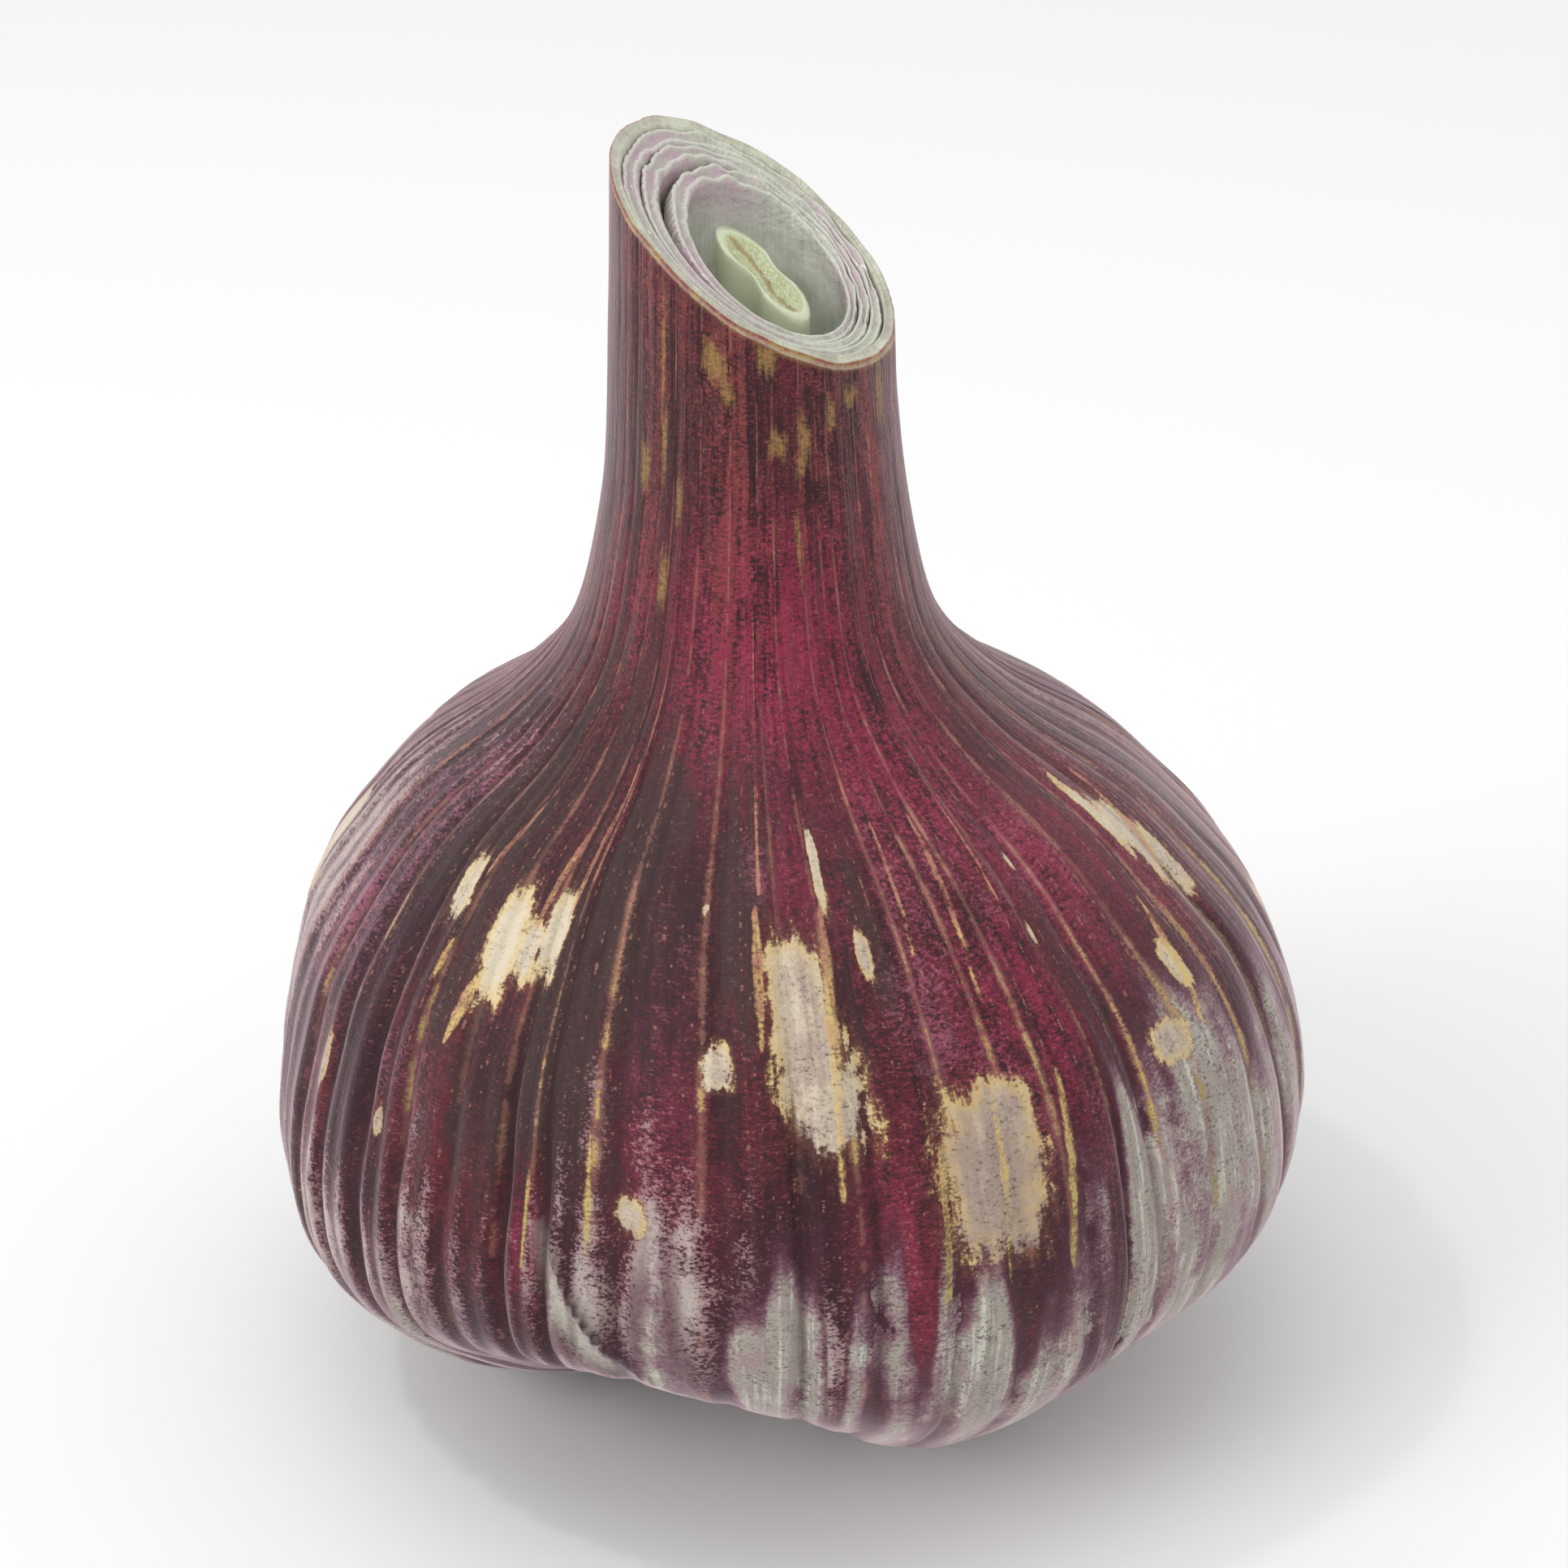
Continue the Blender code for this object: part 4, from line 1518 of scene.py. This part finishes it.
@dataclass
class Sheath:
    """One leaf sheath in the neck, with two rippled lips at the cut."""

    form: BulbForm
    number: int
    count: int = 3
    columns: int = 640
    outermost: float = 7.38
    pitch: float = 0.89
    wall: float = 0.84
    drift: float = 0.22
    drop: float = 0.3
    foot_gap: float = 0.3
    ripple: float = 0.085
    sway_limit: float = 0.10
    loose: float = 0.6
    loose_side: tuple[float, float] = (-88, 58)
    open_depth: float = 1.5

    # Across the wall from its outside: share, how far below the cut, and how much it is a lip.
    EDGE = (
        (0.00, 0.90, 0.0),
        (0.00, 0.26, 0.1),
        (0.04, 0.12, 0.5),
        (0.11, 0.03, 0.9),
        (0.18, 0.00, 1.0),
        (0.26, 0.04, 0.8),
        (0.34, 0.14, 0.3),
        (0.42, 0.22, 0.0),
        (0.50, 0.25, 0.0),
        (0.58, 0.21, 0.1),
        (0.66, 0.13, 0.6),
        (0.74, 0.09, 1.0),
        (0.83, 0.12, 0.9),
        (0.92, 0.20, 0.5),
        (1.00, 0.34, 0.1),
        (1.00, 1.20, 0.0),
    )
    WALL_STEPS = (0.14, 0.3, 0.5, 0.75)

    def build(self) -> bpy.types.Object:
        """Builds the sheath's mesh and writes what its finish reads.

        Returns:
            The finished piece, not yet dressed.
        """
        form = self.form
        outer = self.outermost - (self.number - 1) * self.pitch
        thick = self.wall
        top, foot = form.cut_height, form.bore_floor + self.foot_gap
        crest = [(outer - share * thick, top - below) for share, below, _ in self.EDGE]
        outer_edge, inner_edge = top - self.EDGE[0][1], top - self.EDGE[-1][1]
        down = (*self.WALL_STEPS, 1.0)
        outside = [(outer, outer_edge - (outer_edge - foot) * step) for step in reversed(down)]
        inside = [(outer - thick, inner_edge - (inner_edge - foot) * step) for step in down]
        points = [*outside, *crest, *inside, outside[0]]
        lips = [0.0] * len(outside) + [lip for _, _, lip in self.EDGE] + [0.0] * (len(inside) + 1)
        shape = new_layered_profile(points, lips)
        spin_round(shape, self.columns)
        piece = to_object(f"leaf_sheath_{self.number}_rippled", shape, 75.0)
        self.move(piece.data, outer, thick)
        return piece

    def move(self, mesh: bpy.types.Mesh, outer: float, thick: float) -> None:
        """Ripples the lips, moves the sheath into the neck and writes its attributes.

        Args:
            mesh: The spun mesh.
            outer: The sheath's outer radius.
            thick: Its wall's thickness.
        """
        form = self.form
        spots = read_points(mesh)
        lip = read_number(mesh, "along")
        column = np.arctan2(spots[:, 0], -spots[:, 1])
        radius, height = np.hypot(spots[:, 0], spots[:, 1]), spots[:, 2]
        across = np.clip((outer - radius) / thick, 0.0, 1.0)
        below = form.cut_height - height
        near = 1 - smoothstep(0.4, 2.2, below)
        turn = column + 0.9 * self.number
        which = np.where(across < 0.5, 0.0, 1.9)
        beads = 0.05 + 0.75 * bump(column, -80, 36) + 0.45 * bump(column, 75, 34)
        wave = np.sin(62 * turn + 3.0 * np.sin(5 * turn + which) + which * 3)
        slow = np.sin(9 * turn + 1.5 * np.sin(4 * turn) + which)
        middle = np.sin(21 * turn + 2.0 * np.sin(3 * turn + which))
        sway = self.ripple * (0.5 * beads * wave + 0.7 * slow + 0.35 * middle) * near * (0.35 + 0.65 * lip)
        lift = self.ripple * (0.45 * beads * wave + 0.7 * slow + 0.4 * middle) * near
        sway = np.clip(sway, -self.sway_limit, self.sway_limit)
        new_radius = radius + sway * np.where((across <= 0) | (across >= 1), 0.4, 1.0)
        if self.number == self.count:
            open_end = smoothstep(form.cut_height - self.open_depth, form.cut_height, height)
            new_radius -= self.loose * bump(column, *self.loose_side) * open_end
        inwards = form.bore_radius - radius
        x = new_radius * np.sin(column) + self.drift * inwards
        y = -new_radius * np.cos(column)
        lower = self.drop * self.number * (0.55 - 0.1 * y)
        write_points(mesh, form.settle(x, y, height, lower - lift))
        write_vector(mesh, "grain", (radius * np.cos(column) * 4, radius * np.sin(column) * 4, height))
        mauve = 0.45 + 0.5 * np.sin(3 * column + self.number) + 0.6 * bump(column, -70, 70)
        mauve = np.clip(mauve, 0, 1) * (1 - smoothstep(0.6, 2.6, below))
        mauve *= 1 - lip * (0.6 - 0.5 * bump(column, -80, 60))
        write_vector(mesh, "lips", (lip, smoothstep(0.5, 2.5, below), mauve))


@dataclass
class Stalk:
    """The flower stalk's two-lobed stub with granular pith in its cut end."""

    form: BulbForm
    columns: int = 96
    centre: tuple[float, float] = (0.5, 0.1)
    length: float = 6.3
    width: float = 3.7
    waist: float = 0.36
    waist_width: float = 0.33
    bend: float = 0.09
    azimuth: float = -39.0
    drop: float = 1.75
    foot_gap: float = 0.3
    dish: float = 0.28
    rings: int = 9
    top_inset: float = 0.02
    first_inset: float = 0.06
    last_inset: float = 0.97
    rim_inset: float = 0.16
    dish_slope: float = 0.2

    # How far below the cut its side has rings of vertices.
    RING_DEPTHS = (3.0, 1.2, 0.4, 0.1)

    def ring_point(self, corner: Vector, inset: float) -> Vector:
        """Returns a point of the unit circle moved to the stalk's outline.

        Args:
            corner: The point on the circle.
            inset: How far it has moved towards the middle line, from 0 to 1.

        Returns:
            The point, in millimetres.
        """
        along, across = corner.x * (1 - 0.93 * inset), corner.y * (1 - inset)
        drawn = 1 - self.waist * math.exp(-((along / self.waist_width) ** 2))
        bow = self.bend * (1 - along**2)
        lying = Vector((along * self.length / 2, (across * drawn + bow) * self.width / 2, 0))
        return Matrix.Rotation(math.radians(self.azimuth), 3, "Z") @ lying

    def build(self) -> bpy.types.Object:
        """Builds the stalk's mesh and writes what its finish reads.

        Returns:
            The finished piece, not yet dressed.
        """
        form = self.form
        shape = bmesh.new()
        layer = shape.verts.layers.float.new("along")
        bmesh.ops.create_circle(shape, cap_ends=True, segments=self.columns, radius=1.0)
        circle = [vert.co.copy() for vert in shape.verts]
        foot, top = form.bore_floor + self.foot_gap, form.cut_height
        levels = [foot, (foot + top) / 2, *(top - depth for depth in self.RING_DEPTHS), top]
        loop = list(shape.verts)
        face = next(iter(shape.faces))
        self.set_ring(loop, circle, 0.0, levels[0], layer, 0.0)
        for level in levels[1:]:
            face, loop = self.step(shape, face, loop)
            self.set_ring(loop, circle, self.top_inset if level == top else 0.0, level, layer, 0.0)
        for ring in range(1, self.rings + 1):
            face, loop = self.step(shape, face, loop)
            inset = self.first_inset + (self.last_inset - self.first_inset) * ring / self.rings
            inside = min(1.0, max(0.0, (inset - self.rim_inset) / self.dish_slope))
            self.set_ring(loop, circle, inset, top - self.dish * inside, layer, inset)
        piece = to_object("flower_stalk_cut", shape, 70.0)
        self.move(piece.data)
        return piece

    def step(
        self, shape: bmesh.types.BMesh, face: bmesh.types.BMFace, loop: list[bmesh.types.BMVert]
    ) -> tuple[bmesh.types.BMFace, list[bmesh.types.BMVert]]:
        """Extrudes the end face once, in place.

        Args:
            shape: The bmesh.
            face: The end face.
            loop: Its vertices, in the circle's order.

        Returns:
            The new end face and its vertices in the same order.
        """
        places = {tuple(round(part, 9) for part in vert.co): index for index, vert in enumerate(loop)}
        made = bmesh.ops.extrude_face_region(shape, geom=[face])["geom"]
        bmesh.ops.delete(shape, geom=[face], context="FACES_ONLY")
        verts = [item for item in made if isinstance(item, bmesh.types.BMVert)]
        verts.sort(key=lambda vert: places[tuple(round(part, 9) for part in vert.co)])
        return next(item for item in made if isinstance(item, bmesh.types.BMFace)), verts

    def set_ring(
        self,
        loop: list[bmesh.types.BMVert],
        circle: list[Vector],
        inset: float,
        height: float,
        layer: bmesh.types.BMLayerItem,
        mark: float,
    ) -> None:
        """Moves one ring of vertices to its inset and height, and marks it.

        Args:
            loop: The ring's vertices.
            circle: Their places on the unit circle.
            inset: How far they move towards the middle line, from 0 to 1.
            height: Their height, in millimetres.
            layer: The layer that keeps the mark.
            mark: The mark.
        """
        for vert, corner in zip(loop, circle):
            vert.co = (self.ring_point(corner, inset) + Vector((0, 0, height))) * MM
            vert[layer] = mark

    def move(self, mesh: bpy.types.Mesh) -> None:
        """Roughens the pith, moves the stalk into the neck and writes its attributes.

        Args:
            mesh: The extruded mesh.
        """
        spots = read_points(mesh)
        inset = read_number(mesh, "along")
        pith = smoothstep(0.12, 0.28, inset)
        x, y = spots[:, 0], spots[:, 1]
        grain = np.sin(9.1 * x + 3 * np.sin(5.3 * y)) * np.sin(8.3 * y + 2.4 * np.sin(6.1 * x))
        lift = 0.07 * grain * pith
        height = spots[:, 2]
        points = self.form.settle(x + self.centre[0], y + self.centre[1], height, self.drop - lift)
        write_points(mesh, points)
        turn = math.radians(self.azimuth)
        off_line = np.abs(-x * math.sin(turn) + y * math.cos(turn) + 0.25 * np.sin(1.6 * x))
        streak = np.exp(-((off_line / 0.32) ** 2) - ((x + y) / 2.2) ** 2) * pith
        write_vector(mesh, "pith", (pith, streak, np.zeros_like(pith)))


@dataclass
class RootPlate:
    """The corky plate under the bulb with its trimmed roots."""

    columns: int = 96
    roots: int = 74
    root_sides: int = 7
    seed: int = 11
    root_radius: float = 0.42
    root_length: tuple[float, float] = (0.9, 1.5)
    root_height: float = 1.65
    inner_ring: float = 4.9
    ring_width: float = 3.0
    rough_from: float = 0.05
    rough_to: float = 3.2
    ground_gap: float = 0.08

    # Radius and height from the middle of the top to the middle of the flat.
    OUTLINE = (
        (0.0, 3.3),
        (4.0, 3.3),
        (8.0, 3.25),
        (8.5, 2.9),
        (8.6, 2.4),
        (8.4, 1.8),
        (8.1, 1.3),
        (7.6, 0.95),
        (6.8, 0.75),
        (5.8, 0.6),
        (5.0, 0.4),
        (4.6, 0.1),
        (4.3, 0.0),
        (2.4, 0.0),
        (0.0, 0.0),
    )

    def build(self) -> bpy.types.Object:
        """Builds the plate and its roots as one piece.

        Returns:
            The finished piece, not yet dressed.
        """
        shape = new_layered_profile(self.OUTLINE, [0.0] * len(self.OUTLINE))
        spin_round(shape, self.columns)
        for vert in shape.verts:
            spot = vert.co / MM
            column, radius = math.atan2(spot.x, -spot.y), math.hypot(spot.x, spot.y)
            rough = 0.10 * math.sin(19 * column + 2 * math.sin(3 * radius)) + 0.06 * math.sin(47 * column)
            if self.rough_from < spot.z < self.rough_to:
                vert.co *= 1 + rough / max(radius, 1.0) * 0.8
        generator = np.random.default_rng(self.seed)
        for number in range(self.roots):
            self.add_root(shape, number, generator)
        return to_object("root_plate_trimmed", shape, 50.0)

    def add_root(self, shape: bmesh.types.BMesh, number: int, generator: np.random.Generator) -> None:
        """Adds one trimmed root, sunk in the plate and ending above the ground.

        Args:
            shape: The plate's bmesh.
            number: The root's number.
            generator: What draws its size and lean.
        """
        ring = self.inner_ring + self.ring_width * ((number * GOLDEN_SHARE) % 1.0)
        column = number * GOLDEN_ANGLE + generator.uniform(-0.1, 0.1)
        length = generator.uniform(*self.root_length)
        radius = self.root_radius * generator.uniform(0.7, 1.15)
        made = bmesh.ops.create_cone(
            shape,
            cap_ends=True,
            segments=self.root_sides,
            radius1=radius * 0.7 * MM,
            radius2=radius * MM,
            depth=length * MM,
            matrix=Matrix.Translation((0, 0, -length / 2 * MM)),
        )
        lean = Euler((generator.uniform(-0.35, 0.1), generator.uniform(-0.25, 0.25), 0)).to_matrix().to_4x4()
        place = Matrix.Translation((0, -ring * MM, self.root_height * MM)) @ lean
        bmesh.ops.transform(shape, matrix=Matrix.Rotation(column, 4, "Z") @ place, verts=made["verts"])
        for vert in made["verts"]:
            vert.co.z = max(vert.co.z, self.ground_gap * MM)


# Setting.


@dataclass(frozen=True)
class Lamp:
    """One square area lamp, in metres and watts."""

    name: str
    place: tuple[float, float, float]
    size: float
    power: float


LAMPS = (
    Lamp("overhead", (-0.06, -0.10, 0.62), 0.42, 0.5),
    Lamp("small", (-0.20, -0.06, 0.46), 0.03, 0.22),
    Lamp("front", (-2.3, -1.5, 1.7), 1.5, 32.0),
)


@dataclass
class Studio:
    """The floor, the light and the camera."""

    floor_size: float = 24.0
    sky: float = 0.87
    camera_elevation: float = 25.0
    camera_distance: float = 188.0
    lens: float = 70.0
    aim: tuple[float, float, float] = (-0.28, 0.0, 38.40)
    lamp_aim: tuple[float, float, float] = (0.0, 0.0, 0.035)

    def floor(self) -> None:
        """Adds the floor."""
        shape = bmesh.new()
        bmesh.ops.create_grid(shape, x_segments=2, y_segments=2, size=self.floor_size / 2)
        piece = to_object("floor", shape)
        piece.data.materials.append(FloorFinish().make())

    def light(self) -> None:
        """Adds an even sky, two lamps above the bulb and a large far one at the front left."""
        world = bpy.data.worlds.new("studio_sky")
        bpy.context.scene.world = world
        world.use_nodes = True
        sky = world.node_tree.nodes["Background"]
        sky.inputs["Color"].default_value = (1.0, 1.0, 1.0, 1.0)
        sky.inputs["Strength"].default_value = self.sky
        for lamp in LAMPS:
            self.hang(lamp)

    def hang(self, lamp: Lamp) -> None:
        """Adds one lamp, turned to face the bulb.

        Args:
            lamp: The lamp.
        """
        data = bpy.data.lights.new(lamp.name, "AREA")
        data.shape = "SQUARE"
        data.size = lamp.size
        data.energy = lamp.power
        hung = bpy.data.objects.new(lamp.name, data)
        hung.location = lamp.place
        towards = Vector(self.lamp_aim) - Vector(lamp.place)
        hung.rotation_euler = towards.to_track_quat("-Z", "Y").to_euler()
        bpy.context.scene.collection.objects.link(hung)

    def camera(self) -> None:
        """Adds the camera at the photograph's angle."""
        tilt = math.radians(self.camera_elevation)
        forward = Vector((0.0, math.cos(tilt), -math.sin(tilt)))
        data = bpy.data.cameras.new("camera")
        data.lens = self.lens
        data.sensor_width = 36.0
        data.clip_start = 0.005
        camera = bpy.data.objects.new("camera", data)
        camera.location = (Vector(self.aim) - forward * self.camera_distance) * MM
        camera.rotation_euler = (math.radians(90 - self.camera_elevation), 0.0, 0.0)
        bpy.context.scene.collection.objects.link(camera)
        bpy.context.scene.camera = camera

    def build(self) -> None:
        """Sets up the studio."""
        self.floor()
        self.light()
        self.camera()
        bpy.context.scene.view_settings.view_transform = "Standard"
        LOG.info("studio: floor, sky, lamps and camera")


def main() -> None:
    """Builds every piece and the studio."""
    logging.basicConfig(level=logging.INFO, format="%(name)s: %(message)s")
    form = BulbForm()
    dress(Wrapper(form).build(), SkinFinish().make(), ["outer_wrapper"])
    sheath_finish = SheathFinish().make()
    for number in range(1, Sheath.count + 1):
        dress(Sheath(form, number).build(), sheath_finish, [f"leaf_sheath_{number}"])
    dress(Stalk(form).build(), StalkFinish().make(), ["flower_stalk"])
    dress(RootPlate().build(), CorkFinish().make(), ["root_plate"])
    Studio().build()


if __name__ == "__main__":
    main()
